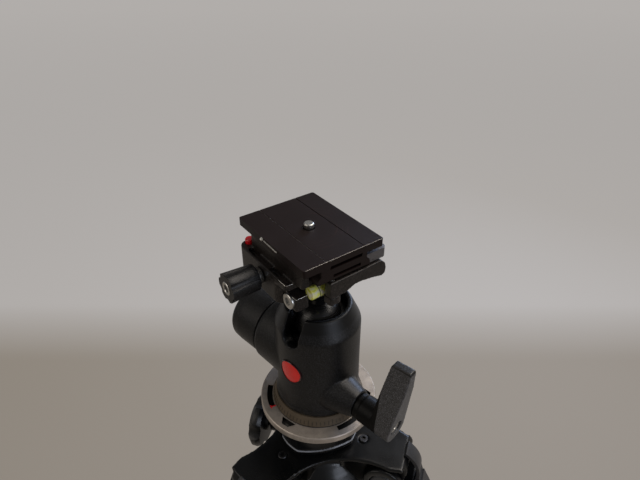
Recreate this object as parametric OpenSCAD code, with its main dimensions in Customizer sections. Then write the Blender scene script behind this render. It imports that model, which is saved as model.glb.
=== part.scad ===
// Camera tripod with ball head, quick release clamp and sliding plate.
// Millimetres. The floor is z = 0 and the centre column stands on the Z axis.

/* [Legs] */
// spread of each leg from the vertical at rest, degrees
leg_spread = 25; // [10:1:30]
// direction of the first leg about the column, degrees
leg_turn = 25; // [0:1:120]
// pivot to the centre of the round foot, legs closed
leg_reach = 562; // [500:1:620]
// outer diameter of the upper tube
upper_od = 29.2; // [26:0.1:34]
// outer diameter of the middle tube
mid_od = 24.8; // [22:0.1:28]
// outer diameter of the lower tube
low_od = 20; // [16:0.1:22]
// wall of the three leg tubes
tube_wall = 1.5; // [1:0.1:2.5]
// radius of the rubber foot
foot_r = 12; // [9:0.5:16]
// length of the flip lock castings
lock_length = 38; // [30:1:50]

/* [Shoulder] */
// column axis to leg pivot
pivot_out = 56; // [50:1:65]
// disc top down to the leg pivot
pivot_drop = 62; // [55:1:70]
// disc top down to the flat roof of the shoulder
roof_drop = 43; // [38:1:50]
// width of the lug between the two cheeks of a leg
lug_width = 30; // [24:1:34]
// thickness of each cheek
cheek = 6; // [4:0.5:8]
// radius of the pivot bolt
bolt_r = 5; // [3:0.5:6]

/* [Column] */
// radius of the centre column
column_r = 14; // [11:0.5:16]
// wall of the centre column
column_wall = 1.8; // [1:0.1:3]
// length of the centre column
column_length = 300; // [200:5:340]
// radius of the head disc
disc_r = 42.4; // [30:0.1:50]
// thickness of the head disc
disc_t = 5.5; // [4:0.5:8]
// radius of the column lock knob
column_knob_r = 21.5; // [15:0.5:24]

/* [Ball head] */
// radius of the cast housing
housing_r = 29; // [25:0.5:34]
// height of the housing rim over the disc
rim_z = 86.8; // [80:0.1:95]
// outer radius of the rim
rim_r = 22; // [20:0.1:26]
// radius of the mouth inside the rim
mouth_r = 19.4; // [17:0.1:20]
// radius of the ball
ball_r = 17; // [14:0.1:19]
// height of the ball centre over the disc
ball_z = 72; // [68:0.5:76]
// width of the drop notch in the rim
notch_w = 13.2; // [11:0.1:16]
// direction of the drop notch, degrees
notch_turn = -88; // [-120:1:0]
// radius of the stem under the clamp
neck_r = 5.8; // [4:0.1:6]
// height of the locking lever axis
lever_z = 24; // [22:0.5:28]
// sideways offset of the locking lever axis
lever_y = -6; // [-8:0.5:0]
// height of the friction knob axis
friction_z = 39.8; // [34:0.1:42]
// radius of the friction knob
friction_r = 23.5; // [18:0.5:27]

/* [Clamp and plate] */
// direction of the plate's long side, degrees
clamp_turn = -11.8; // [-45:0.1:45]
// underside of the clamp over the disc
clamp_z = 102; // [101.5:0.1:104]
// plate centre along its long side, from the ball axis
plate_dx = -5.6; // [-15:0.1:15]
// plate centre across, from the ball axis
plate_dy = -2.6; // [-4:0.1:4]
// plate width across the dovetail
plate_w = 57; // [50:0.5:65]
// plate length along the dovetail
plate_l = 71.6; // [50:0.1:90]
// top of the plate over the disc
plate_z = 140.8; // [138:0.1:145]
// thickness of the plate's top slab
slab_t = 5; // [4:0.1:8]
// half width of the dovetail at its foot
tail_w = 19; // [17:0.1:20]
// radius of the quarter inch camera screw
camera_r = 3.175; // [3:0.025:3.2]
// how far the camera screw stands over the plate
camera_up = 3.4; // [3:0.1:6]

/* [Fits] */
// radial running clearance of pins and shafts
run = 0.05; // [0.02:0.01:0.1]
// open gap between pieces that pass each other
gap = 0.3; // [0.3:0.05:0.5]

/* [Hidden] */
$fn = 64;
pivot_z = leg_reach * cos(leg_spread) + foot_r;
top = pivot_z + pivot_drop;
upper_r = upper_od / 2;
mid_r = mid_od / 2;
low_r = low_od / 2;
upper_end = -(leg_reach - 100);
mid_end = -(leg_reach - 57);
lug_h = lug_width / 2;
cheek_in = lug_h + gap;
cheek_out = cheek_in + cheek;
roof_z = -roof_drop;
hub_r = 29.8;
window_out = disc_r - 3.6;
window_in = window_out - 5;
sleeve_r = 18;
collar_low = -40;
ball_gap = 0.05;
stem_collar_r = neck_r + 1;
liner_t = 1.2;
plate_base = 126.5;
jaw_top = 132.8;
bed_z = 121.5;
step_z = 111.6;
body_x = 6;
ledge_x = 13.6;
step_x = 17.2;
body_y = -32.6;
step_y = -28.2;
step_in = -18.8;
vial_x = 18.2;
vial_z = 113;
vial_r = 4.2;
pin_x = 26.6;
pin_y = -9.5;
arm_x = 30.4;
knob_x = -15;
knob_z = 113;
button_x = -39.6;
button_y = -25.6;
badge_z = 43.5;
badge_r = 9.1;
roof_t = 3.6;
roof_end = 70.3;
arm_r = 24.1;
pan_lock_turn = 132;
black = [0.13, 0.13, 0.14];
dark = [0.2, 0.2, 0.21];
metal = [0.62, 0.62, 0.6];
steel = [0.75, 0.75, 0.77];
tan_ring = [0.72, 0.62, 0.47];
red = [0.8, 0.12, 0.12];

// ---- helpers ----

// everything on the head and shoulder is written from the disc's top
module head() { translate([0, 0, top]) children(); }

// the clamp's own frame: X along the plate, Y across it
module clamp() { head() rotate([0, 0, clamp_turn]) children(); }

// the leg's own frame: origin on the pivot, tube down -Z, outside +X
module leg(k) {
  rotate([0, 0, leg_turn + 120 * (k - 1)])
    translate([pivot_out, 0, pivot_z])
      rotate([0, -leg_spread, 0]) children();
}

module bar_x(r, x0, x1) { translate([x0, 0, 0]) rotate([0, 90, 0]) cylinder(r = r, h = x1 - x0); }
module bar_y(r, y0, y1) { translate([0, y1, 0]) rotate([90, 0, 0]) cylinder(r = r, h = y1 - y0); }
module box(x0, x1, y0, y1, z0, z1) { translate([x0, y0, z0]) cube([x1 - x0, y1 - y0, z1 - z0]); }

// flat block with round upright corners
module slab(x0, x1, y0, y1, z0, z1, r) {
  box(x0 + r, x1 - r, y0, y1, z0, z1);
  box(x0, x1, y0 + r, y1 - r, z0, z1);
  for (x = [x0 + r, x1 - r])
    for (y = [y0 + r, y1 - r])
      translate([x, y, z0]) cylinder(r = r, h = z1 - z0);
}

module socket_screw(head_r, head_h, shank_r, shank_l, key) {
  difference() {
    union() {
      cylinder(r = head_r, h = head_h - 0.4);
      translate([0, 0, head_h - 0.4]) cylinder(r1 = head_r, r2 = head_r - 0.4, h = 0.4);
      translate([0, 0, -shank_l]) cylinder(r = shank_r, h = shank_l + 0.1);
    }
    translate([0, 0, head_h * 0.35]) linear_extrude(head_h) hexagon(key);
  }
}

module hexagon(f) {
  polygon([for (i = [0:5]) [f / sqrt(3) * cos(60 * i), f / sqrt(3) * sin(60 * i)]]);
}

// knob with round lobes, drawn up +Z
module lobed(r, n, lobe, h) {
  difference() {
    cylinder(r = r, h = h);
    for (i = [0 : n - 1])
      rotate([0, 0, (i + 0.5) * 360 / n])
        translate([r + lobe * 0.55, 0, -1]) cylinder(r = lobe, h = h + 2, $fn = 40);
  }
}

// ---- shoulder ----

// one arm of the flat roof, drawn along +X
function turned(a, x, y) = [x * cos(a) - y * sin(a), x * sin(a) + y * cos(a)];
module roof_outline() {
  polygon([for (k = [0:2]) for (p = [0:3])
    let (a = leg_turn + 120 * k)
    p == 0 ? turned(a, roof_end, -18.6) :
    p == 1 ? turned(a, roof_end, 12.6) :
    p == 2 ? turned(a, 61, 17) : turned(a + 60, 31.1, 0)]);
}

// arc that is cut out of the roof between two arms
module roof_bite(deep) {
  translate([90, 0, roof_z - roof_t - 1]) cylinder(r = 59.6, h = deep, $fn = 160);
}

module lug() {
  translate([0, 0, -pivot_drop]) {
    translate([pivot_out, 0, 0]) bar_y(16, -lug_h, lug_h);
    box(20, pivot_out, -lug_h, lug_h, -16, 17);
    // end face that leans out below the roof
    rotate([90, 0, 0]) translate([0, 0, -lug_h]) linear_extrude(2 * lug_h)
      polygon([[pivot_out, 0], [70, 0], [roof_end + 3, 9], [roof_end + 3, 13.5],
        [roof_end + 0.5, pivot_drop + roof_z - 1], [pivot_out, pivot_drop + roof_z - 1]]);
  }
}

// round front between two legs, kept clear of both leg castings
module shoulder_front() {
  wide = cheek_out + 0.5;
  intersection() {
    rotate_extrude($fn = 96) polygon([[20, -85.5], [50, -85.5], [49.6, -76], [47.4, -67.5],
      [43.6, -60], [38.8, -53.6], [34.2, -49.2], [30.2, roof_z - roof_t + 1], [20, roof_z - roof_t + 1]]);
    translate([0, 0, -100]) linear_extrude(100)
      polygon([[wide / sin(60), 0], [90, -(90 - wide / sin(60)) * tan(60)],
        [90, (90 - wide / sin(60)) * tan(60)]]);
  }
}

module shoulder() {
  color(black) head() difference() {
    union() {
      translate([0, 0, -98]) cylinder(r = hub_r - 3, h = 14, $fn = 96);
      translate([0, 0, -86]) cylinder(r = hub_r, h = 85 + roof_z, $fn = 96);
      difference() {
        translate([0, 0, roof_z - roof_t]) linear_extrude(roof_t) roof_outline();
        for (i = [0:2]) at_gap(i) roof_bite(8);
      }
      for (k = [0:2]) rotate([0, 0, leg_turn + 120 * k]) lug();
      at_gap(0) shoulder_front();
      at_gap(2) shoulder_front();
      // boss of the column lock
      at_gap(1) translate([0, 0, -50]) bar_x(7, 20, 39);
    }
    // bore of the column collar
    translate([0, 0, -99]) cylinder(r = sleeve_r, h = 60, $fn = 96);
    for (k = [0:2]) rotate([0, 0, leg_turn + 120 * k]) {
      translate([pivot_out, 0, -pivot_drop]) bar_y(bolt_r, -lug_h - 1, lug_h + 1);
      translate([36.6, 0, roof_z - 9]) cylinder(r = 2, h = 10);
      translate([36.6, 0, roof_z - 1.2]) cylinder(r = 3.7, h = 3);
    }
    at_gap(1) translate([0, 0, -50]) bar_x(4 + run, 10, 40);
  }
}

module shoulder_screws() {
  color(steel) head() for (k = [0:2])
    rotate([0, 0, leg_turn + 120 * k])
      translate([36.6, 0, roof_z - 1.2]) socket_screw(3.4, 2.4, 2, 7, 3);
}

// the heads lie in the cheeks of the leg casting
module pivot_bolts() {
  color(dark) head() for (k = [0:2])
    rotate([0, 0, leg_turn + 120 * k])
      translate([pivot_out, 0, -pivot_drop]) {
        bar_y(bolt_r, -cheek_out + 2.2, cheek_out - 2.2);
        for (s = [-1, 1])
          rotate([-90 * s, 0, 0]) difference() {
            translate([0, 0, cheek_out - 2.4]) {
              cylinder(r = 9, h = 1.8);
              translate([0, 0, 1.8]) cylinder(r1 = 9, r2 = 8.2, h = 0.6);
            }
            translate([0, 0, cheek_out - 1.2]) linear_extrude(3) hexagon(5);
          }
      }
}

// rounded triangle about the column
module collar_outline(grow) {
  intersection() {
    circle(r = 30.5 + grow);
    at_gap(0) translate([-34, 0]) circle(r = 60 + grow, $fn = 128);
    at_gap(1) translate([-34, 0]) circle(r = 60 + grow, $fn = 128);
    at_gap(2) translate([-34, 0]) circle(r = 60 + grow, $fn = 128);
  }
}
module at_gap(i) { rotate([0, 0, leg_turn + 60 + 120 * i]) children(); }

module column_collar() {
  color(dark) head() difference() {
    union() {
      translate([0, 0, -36.5]) linear_extrude(28) collar_outline(-1.2);
      translate([0, 0, collar_low]) linear_extrude(3.5) collar_outline(0);
      translate([0, 0, -43 + 0.2]) cylinder(r = 24, h = 3);
      translate([0, 0, -94]) cylinder(r = sleeve_r, h = 60, $fn = 96);
    }
    translate([0, 0, -95]) cylinder(r = column_r + run, h = 90, $fn = 96);
    at_gap(1) translate([0, 0, -50]) bar_x(4 + gap, 10, 40);
  }
}

// ---- column ----

module column_tube() {
  color(metal) head() difference() {
    translate([0, 0, -disc_t - column_length]) cylinder(r = column_r, h = column_length, $fn = 96);
    translate([0, 0, -disc_t - column_length - 1])
      cylinder(r = column_r - column_wall, h = column_length + 2, $fn = 96);
  }
}

module column_end_cap() {
  color(black) head() translate([0, 0, -disc_t - column_length]) difference() {
    union() {
      translate([0, 0, -7]) cylinder(r1 = 11, r2 = 14, h = 3, $fn = 96);
      translate([0, 0, -4]) cylinder(r = 14, h = 4, $fn = 96);
      cylinder(r = column_r - column_wall, h = 14);
      // hook for a weight
      translate([0, 0, -12]) box(-2.5, 2.5, -7, 7, 0, 6);
      translate([0, 0, -12]) bar_x(7, -2.5, 2.5);
    }
    translate([0, 0, -12]) bar_x(3.6, -4, 4);
  }
}

module column_disc() {
  color(metal) head() difference() {
    union() {
      translate([0, 0, -disc_t + 0.6]) cylinder(r = disc_r, h = disc_t - 1.2, $fn = 128);
      translate([0, 0, -0.6]) cylinder(r1 = disc_r, r2 = disc_r - 0.6, h = 0.6, $fn = 128);
      translate([0, 0, -disc_t]) cylinder(r1 = disc_r - 0.6, r2 = disc_r, h = 0.6, $fn = 128);
      translate([0, 0, -disc_t - 22]) cylinder(r = column_r - column_wall, h = 22.1);
    }
    translate([0, 0, -12]) cylinder(r = 4.7625, h = 13);
    // three wedge windows and a long slot under the head
    for (k = [0:2]) rotate([0, 0, -85 + 120 * k])
      translate([0, 0, -8]) linear_extrude(9)
        polygon([[window_in, -6], [window_out, -2.6], [window_out, 2.6], [window_in, 6]]);
    for (k = [0:2]) rotate([0, 0, -146 + 120 * k]) translate([0, 0, -1.8])
      rotate_extrude(angle = 32, $fn = 128) translate([window_in + 0.2, 0]) square([4, 3]);
  }
}

module head_stud() {
  color(steel) head() {
    translate([0, 0, -11.8]) cylinder(r = 4.7625 - 0.02, h = 20.3);
    translate([0, 0, 8.5]) cylinder(r1 = 4.7425, r2 = 3.9, h = 0.8);
  }
}

module column_knob() {
  color(black) head() at_gap(1) translate([0, 0, -50]) rotate([0, 90, 0]) {
    translate([0, 0, 15]) cylinder(r = 4, h = 26);
    translate([0, 0, 40.4]) cylinder(r = 8, h = 2.3);
    translate([0, 0, 42.6]) intersection() {
      lobed(column_knob_r, 5, 9, 9.8);
      union() {
        cylinder(r1 = column_knob_r - 2, r2 = column_knob_r, h = 3, $fn = 96);
        translate([0, 0, 3]) cylinder(r = column_knob_r, h = 3.8, $fn = 96);
        translate([0, 0, 6.8]) cylinder(r1 = column_knob_r, r2 = column_knob_r - 3, h = 3, $fn = 96);
      }
    }
  }
}

// ---- ball head ----

module head_base() {
  color(black) head() difference() {
    union() {
      cylinder(r = 33.3, h = 0.9, $fn = 128);
      cylinder(r = 26.9, h = 7.2, $fn = 96);
      cylinder(r = 14, h = 18, $fn = 96);
      translate([0, 0, 15]) cylinder(r = 17, h = 3, $fn = 96);
    }
    translate([0, 0, -0.1]) cylinder(r = 4.7625, h = 9.7);
  }
}

module pan_scale_ring() {
  color(tan_ring) head() translate([0, 0, 0.9]) difference() {
    cylinder(r1 = 33.3, r2 = 30.7, h = 6.3, $fn = 128);
    translate([0, 0, -1]) cylinder(r = 26.9, h = 9, $fn = 96);
  }
}

// room for the dropped stem, wider inside for its collar
module notch_cut(half) {
  rotate([0, 0, notch_turn]) translate([0, 0, ball_z]) {
    bar_x(half, 5, 40);
    box(5, 40, -half, half, 0, 30);
  }
}

// round patch on the housing, between two radii
module badge_round(r, inner, outer) {
  intersection() {
    rotate([0, 0, notch_turn]) translate([0, 0, badge_z]) bar_x(r, 10, 50);
    translate([0, 0, badge_z - 20]) difference() {
      cylinder(r = outer, h = 40, $fn = 128);
      translate([0, 0, -1]) cylinder(r = inner, h = 42, $fn = 128);
    }
  }
}

module ball_housing() {
  color(dark) head() difference() {
    union() {
      rotate_extrude($fn = 128) polygon([[0, 7.6], [30.2, 7.6], [30.4, 8], [30.4, 11], [29.6, 13],
        [housing_r + 0.3, 20], [housing_r, 45], [housing_r, 72.4], [housing_r - 0.4, 73.6],
        [rim_r + 0.7, rim_z - 0.5], [rim_r, rim_z], [0, rim_z]]);
      // boss of the friction knob
      translate([0, 0, friction_z]) rotate([0, -90, 0]) {
        cylinder(r1 = 28, r2 = friction_r + 1.6, h = 38.5, $fn = 96);
        translate([0, 0, 38.5]) cylinder(r1 = friction_r + 1.6, r2 = friction_r - 0.2, h = 2.6, $fn = 96);
      }
      // cone of the locking lever
      translate([0, lever_y, lever_z]) rotate([0, 90, 0]) {
        cylinder(r1 = 16, r2 = 15, h = 24);
        translate([0, 0, 24]) cylinder(r1 = 15, r2 = 9.6, h = 18.5);
      }
      // boss of the pan lock
      rotate([0, 0, pan_lock_turn]) translate([0, 0, 11.5]) bar_x(3.9, 20, 33);
    }
    // mouth, ball bore and lower works
    translate([0, 0, 79]) cylinder(r = mouth_r, h = 9, $fn = 96);
    translate([0, 0, 86]) cylinder(r1 = mouth_r, r2 = mouth_r + 1.2, h = 1, $fn = 96);
    translate([0, 0, 44]) cylinder(r = 21, h = 35.2, $fn = 96);
    translate([0, 0, 18.6]) cylinder(r = 12, h = 26, $fn = 64);
    // pan bearing
    translate([0, 0, 7]) cylinder(r = 14 + run, h = 8.5, $fn = 96);
    translate([0, 0, 14.7]) cylinder(r = 17 + gap, h = 3.9, $fn = 96);
    notch_cut(notch_w / 2);
    translate([0, lever_y, lever_z]) bar_x(4 + run, 0, 50);
    translate([0, 0, friction_z]) bar_x(3 + run, -50, 0);
    rotate([0, 0, pan_lock_turn]) translate([0, 0, 11.5]) bar_x(2 + run, 10, 40);
    // seat of the round badge
    badge_round(badge_r + 0.1, housing_r - 0.7, 40);
  }
}

module ball_seat() {
  color([0.85, 0.85, 0.82]) head() difference() {
    translate([0, 0, 73.5]) cylinder(r = 20.9, h = 5.5, $fn = 96);
    translate([0, 0, ball_z]) sphere(r = ball_r + ball_gap, $fn = 96);
    notch_cut(stem_collar_r + 0.5);
  }
}

module ball_stem() {
  color(dark) head() {
    translate([0, 0, ball_z]) sphere(r = ball_r, $fn = 96);
    translate([0, 0, ball_z]) cylinder(r = neck_r, h = clamp_z - ball_z);
    translate([0, 0, ball_z + 16]) cylinder(r = stem_collar_r, h = 3.2);
    translate([0, 0, clamp_z - 0.1]) cylinder(r = 7, h = 6.1);
  }
}

module ball_liner() {
  color([0.8, 0.78, 0.7]) head() translate([0, 0, ball_z]) difference() {
    sphere(r = ball_r + ball_gap + liner_t, $fn = 96);
    sphere(r = ball_r + ball_gap, $fn = 96);
    box(-30, 30, -30, 30, -8.2, 30);
    translate([0, 0, -30]) cylinder(r = 6, h = 30);
  }
}

module lock_plunger() {
  color(steel) head() difference() {
    union() {
      translate([0, 0, 45]) cylinder(r = 20.7, h = 24, $fn = 96);
      translate([0, 0, 29.3]) cylinder(r = 8, h = 16);
    }
    translate([0, 0, ball_z]) sphere(r = ball_r + 2 * ball_gap + liner_t, $fn = 96);
    notch_cut(stem_collar_r + 0.5);
    translate([0, 0, 69]) box(-30, 30, -30, 30, -2.5, 5);
  }
}

module lock_lever() {
  color(dark) head() translate([0, lever_y, lever_z]) difference() {
    union() {
      bar_x(4, 2, 48);
      bar_x(9, 43, 47);
      bar_x(9.5, 46.9, 58);
      // wedge blade, broad at the hub and thin at its top
      intersection() {
        rotate([90, 0, 0]) translate([0, 0, -12]) linear_extrude(24)
          polygon([[57.5, -9.5], [57.5, 2], [59.6, 20], [62.5, 38], [65.4, 54], [66.4, 55.8],
            [78.6, 56.6], [79.3, 55], [78, 40], [75, 20], [72.2, 0], [71.4, -9.5]]);
        union() {
          bar_x(9.5, 50, 90);
          along(50, 90) polygon([[-9.5, 0], [-9.3, 3], [-2.6, 57], [2.6, 57], [9.3, 3], [9.5, 0]]);
        }
      }
    }
    // recess of the lever screw
    translate([0, 0, 2]) bar_x(5.4, 69.4, 90);
    // hollow back of the blade
    translate([61.8, 3, 14]) rotate([0, 8, 0]) cube([9, 10, 30]);
  }
}

module friction_knob() {
  color(dark) head() translate([0, 0, friction_z]) rotate([0, -90, 0]) {
    translate([0, 0, 8.6]) cylinder(r = 3, h = 34);
    rotate_extrude($fn = 96) polygon([[0, 41.5], [friction_r - 0.5, 41.5], [friction_r, 42],
      [friction_r - 0.7, 60], [friction_r - 1.4, 66.4], [friction_r - 2.6, 68.4],
      [friction_r - 5, 70], [friction_r - 9.5, 71.2], [friction_r - 14, 71.6], [0, 71.6]]);
  }
}

module pan_lock_knob() {
  color(dark) head() rotate([0, 0, pan_lock_turn]) translate([0, 0, 11.5]) rotate([0, 90, 0]) {
    translate([0, 0, 14.4]) cylinder(r = 2, h = 20);
    translate([0, 0, 33.4]) cylinder(r = 5, h = 3);
    translate([0, 0, 36]) lobed(9.5, 8, 4, 11);
  }
}

module badge_disc() {
  color(red) head() badge_round(badge_r, housing_r - 0.7, housing_r + 0.3);
}

// ---- clamp ----

// hook section of a jaw on the +Y side, from the dovetail's centre line
module hook(outer, top_z, low_z) {
  polygon([[tail_w + gap, low_z], [outer, low_z], [outer, top_z], [tail_w - 2.2, top_z],
    [tail_w - 2.2, 131.5], [tail_w + gap, 129.2]]);
}

module along(x0, x1) { translate([x0, 0, 0]) rotate([90, 0, 90]) linear_extrude(x1 - x0) children(); }

module clamp_body() {
  color(black) clamp() difference() {
    union() {
      // block under the plate, broad ledge over the step, step with the hex screw
      slab(-43, body_x, body_y, 21, clamp_z, bed_z, 6);
      slab(-20, ledge_x, body_y, 21, 117, bed_z, 3);
      slab(-10, step_x, step_y, step_in, clamp_z, step_z, 1.5);
      // bed and fixed jaw
      box(-34, 15.5, plate_dy - 17, plate_dy + 18, bed_z - 0.1, plate_base - gap);
      translate([0, plate_dy, 0]) mirror([0, 1, 0]) along(-34.6, 22) hook(24.5, jaw_top, bed_z - 0.1);
      // lug of the lever, with the cradle of the vial
      slab(pin_x - 3.8, arm_x, pin_y - 3.8, -4.6, 108, 113.2, 2.5);
      box(2, pin_x, pin_y + 0.5, -4.6, 107, 110);
    }
    translate([0, 0, clamp_z - 1]) cylinder(r = 7 + run, h = 7.3);
    translate([0, 0, 100]) cylinder(r = 3.1, h = 30);
    translate([0, 0, 115]) cylinder(r = 5.6, h = 20);
    // pockets in the platform beside the jaw
    for (x = [-27.6, -2]) slab(x - 5, x + 5, -26.8 - 4, -26.8 - 0.4, 118, 123, 1.5);
    translate([knob_x, 0, knob_z]) bar_y(3 + run, -40, 30);
    // hex screw and its pocket
    translate([10.5, 0, 107.1]) bar_y(2.5, -30, -19.8);
    translate([10.5, 0, 107.1]) bar_y(5.2 + gap, -40, step_y);
    translate([vial_x, 0, vial_z]) bar_y(vial_r, -19.6, -4);
    translate([pin_x, pin_y, 100]) cylinder(r = 1.8, h = 30);
    // well of the safety button
    translate([button_x, button_y, 114]) cylinder(r = 3 + run, h = 10);
  }
}

module clamp_centre_screw() {
  color(steel) clamp() translate([0, 0, 115]) socket_screw(5.2, 5, 3, 6.5, 5);
}

module clamp_pivot_screw() {
  color(steel) clamp() {
    translate([10.5, step_y, 107.1]) rotate([90, 0, 0]) socket_screw(5.2, 1.8, 2.5, 8, 5);
    // pin of the clamp lever
    translate([pin_x, pin_y, 108.4]) cylinder(r = 1.8 - 0.01, h = 4.8);
    translate([pin_x, pin_y, 113]) cylinder(r = 1.7, h = 11.6);
  }
}

module clamp_lever() {
  color(dark) clamp() difference() {
    union() {
      translate([pin_x, pin_y, 113.5]) cylinder(r = 3.8, h = 10.9);
      along(pin_x, arm_x) polygon([[pin_y - 3.6, 114.1], [pin_y - 3.2, 113.5], [-2.4, 113.5], [1, 114.6],
        [4.9, 116.4], [9, 116.6], [18.3, 115.3], [26, 113.6], [28, 113.9], [29.2, 116],
        [29.4, 119], [28.4, 122.4], [25.6, 125.1], [22, 125.2], [9.9, 124.6], [pin_y - 3.6, 124.4]]);
      // thicker finger end
      along(pin_x - 2.4, pin_x + 0.1) polygon([[15, 117.5], [19, 115.8], [26, 114.2], [28, 115],
        [28.9, 117.5], [28.4, 121.6], [26, 124.4], [19, 124.4], [15, 122]]);
    }
    translate([pin_x, pin_y, 100]) cylinder(r = 1.7 + run, h = 30);
  }
}

module clamp_jaw() {
  color([0.35, 0.35, 0.36]) clamp() difference() {
    union() {
      // the grip runs on over the lever
      translate([0, plate_dy, 0]) along(-36, 28.8) hook(32.8, jaw_top, plate_base - gap);
      translate([0, plate_dy, 0]) along(-36, 19.5) hook(32.8, jaw_top, bed_z + gap);
      box(-36, body_x, 21.6, plate_dy + 29, 106, 122.2);
    }
    translate([knob_x, 0, knob_z]) bar_y(3 + run, 10, 40);
    // rounded outer end
    translate([28.8, plate_dy + 32.8, 120]) difference() {
      box(-3, 1, -3, 1, 0, 20);
      translate([-3, -3, -1]) cylinder(r = 3, h = 22);
    }
  }
}

module tension_knob() {
  color(black) clamp() translate([knob_x, 0, knob_z]) rotate([90, 0, 0]) {
    translate([0, 0, -24.5]) cylinder(r = 3, h = 59);
    translate([0, 0, 32.6 + gap]) cylinder(r = 5, h = 4.2);
    intersection() {
      translate([0, 0, 37]) lobed(9.8, 6, 3.4, 19.4);
      translate([0, 0, 37]) cylinder(r1 = 8.5, r2 = 9.6, h = 19.4);
    }
  }
}

module safety_button() {
  color(red) clamp() translate([button_x, button_y, 0]) {
    translate([0, 0, 116.4]) cylinder(r = 3, h = 7.2);
    translate([0, 0, 123.6]) cylinder(r1 = 3, r2 = 2.5, h = 0.7);
  }
}

module level_vial() {
  color([0.75, 0.85, 0.2]) clamp() translate([vial_x, 0, vial_z]) bar_y(vial_r, -19.6, -4.8);
}

module plate() {
  color([0.2, 0.17, 0.15]) clamp() translate([plate_dx, plate_dy, 0]) difference() {
    union() {
      slab(-plate_l / 2, plate_l / 2, -plate_w / 2, plate_w / 2, plate_z - slab_t, plate_z, 1.5);
      along(-plate_l / 2 + 0.6, plate_l / 2 - 0.6)
        polygon([[-tail_w, plate_base], [tail_w, plate_base], [tail_w, 129], [tail_w - 2.5, 131.5],
          [tail_w - 2.5, plate_z - slab_t + 0.2], [-tail_w + 2.5, plate_z - slab_t + 0.2],
          [-tail_w + 2.5, 131.5], [-tail_w, 129]]);
    }
    // two long grooves in the top
    for (y = [-13.3, 14.1]) box(-plate_l, plate_l, y - 0.3, y + 0.3, plate_z - 0.3, plate_z + 1);
    // end slots
    for (s = [-1, 1]) {
      translate([s * plate_l / 2, 1.1, plate_z]) box(-3, 3, -11.5, 11.5, -6.6, -3.9);
      translate([s * plate_l / 2, 2, 0]) box(-3, 3, -10, 10, 128, 130);
    }
    // camera screw hole
    translate([0, 0, 120]) cylinder(r = camera_r + 0.6, h = 30);
    translate([0, 0, 120]) cylinder(r = 8.5, h = 12.3);
  }
}

module camera_screw() {
  color(steel) clamp() translate([plate_dx, plate_dy, 0]) difference() {
    union() {
      translate([0, 0, 128.4]) cylinder(r = 8, h = 3.6);
      // waist that keeps the screw in the plate, then the threaded end
      translate([0, 0, 131]) cylinder(r = camera_r - 0.6, h = plate_z - 131);
      translate([0, 0, plate_z]) cylinder(r = camera_r, h = camera_up - 0.6);
      translate([0, 0, plate_z + camera_up - 0.6]) cylinder(r1 = camera_r, r2 = camera_r - 0.6, h = 0.6);
    }
    translate([0, 0, 128]) box(-9, 9, -0.8, 0.8, 0, 1.6);
  }
}

// ---- one leg, written once and placed three times ----

module knuckle(k) {
  color(black) leg(k) difference() {
    union() {
      for (s = [-1, 1]) {
        bar_y(15, s > 0 ? cheek_in : -cheek_out, s > 0 ? cheek_out : -cheek_in);
        box(-15, 15, s > 0 ? cheek_in : -cheek_out, s > 0 ? cheek_out : -cheek_in, -30, 0);
      }
      intersection() {
        box(-17, 17, -cheek_out, cheek_out, -46, -18);
        translate([0, 0, -46]) cylinder(r1 = 20, r2 = 28, h = 30);
      }
      translate([0, 0, -78]) cylinder(r = 18.5, h = 36);
      translate([0, 0, -44]) cylinder(r1 = 18.5, r2 = 16, h = 4);
      // rail of the angle selector
      box(15, 19.4, -4, 4, -46, -20);
    }
    translate([0, 0, -79]) cylinder(r = upper_r + 0.02, h = 44);
    bar_y(bolt_r + run, -cheek_out - 1, cheek_out + 1);
    for (s = [-1, 1])
      rotate([-90 * s, 0, 0]) translate([0, 0, cheek_out - 2.4 - gap]) cylinder(r = 9 + gap, h = 4);
  }
}

// pull tab of the angle stop: a slider on the rail and an arc that follows the shoulder's end
module selector(k) {
  color(dark) leg(k) difference() {
    union() {
      box(17.4, 24, -6, 6, -35.4, -18);
      box(19.7, 22.6, -6, 6, -20, -14);
      rotate([90, 0, 0]) rotate([0, 0, -40]) translate([0, 0, -6])
        rotate_extrude(angle = 72, $fn = 96) translate([arm_r, 0]) square([2.4, 12]);
    }
    box(17, 19.4 + gap, -4 - gap, 4 + gap, -47, -13.6);
  }
}

module upper_tube(k) {
  color(metal) leg(k) difference() {
    translate([0, 0, upper_end]) cylinder(r = upper_r, h = -upper_end - 37);
    translate([0, 0, upper_end - 1]) cylinder(r = upper_r - tube_wall, h = -upper_end);
  }
}

module mid_tube(k) {
  color(metal) leg(k) difference() {
    union() {
      translate([0, 0, mid_end]) cylinder(r = mid_r, h = -mid_end - 62);
      translate([0, 0, -76]) cylinder(r = upper_r - tube_wall - run, h = 14);
    }
    translate([0, 0, mid_end - 1]) cylinder(r = mid_r - tube_wall, h = -mid_end);
  }
}

module low_tube(k) {
  color(metal) leg(k) difference() {
    union() {
      translate([0, 0, -leg_reach + 12]) cylinder(r = low_r, h = leg_reach - 12 - 78);
      translate([0, 0, -92]) cylinder(r = mid_r - tube_wall - run, h = 14);
    }
    translate([0, 0, -leg_reach + 11]) cylinder(r = low_r - tube_wall, h = leg_reach);
  }
}

module foot(k) {
  color(black) leg(k) difference() {
    union() {
      translate([0, 0, -leg_reach]) sphere(r = foot_r);
      translate([0, 0, -leg_reach]) cylinder(r = foot_r, h = 26);
      translate([0, 0, -leg_reach + 26]) cylinder(r1 = foot_r, r2 = foot_r - 1.2, h = 2);
    }
    translate([0, 0, -leg_reach + 12]) cylinder(r = low_r + 0.02, h = 40);
    for (i = [0:2]) translate([0, 0, -leg_reach + 2 + 5 * i]) difference() {
      cylinder(r = foot_r + 2, h = 2);
      translate([0, 0, -1]) cylinder(r = foot_r - 0.8, h = 4);
    }
  }
}

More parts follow.
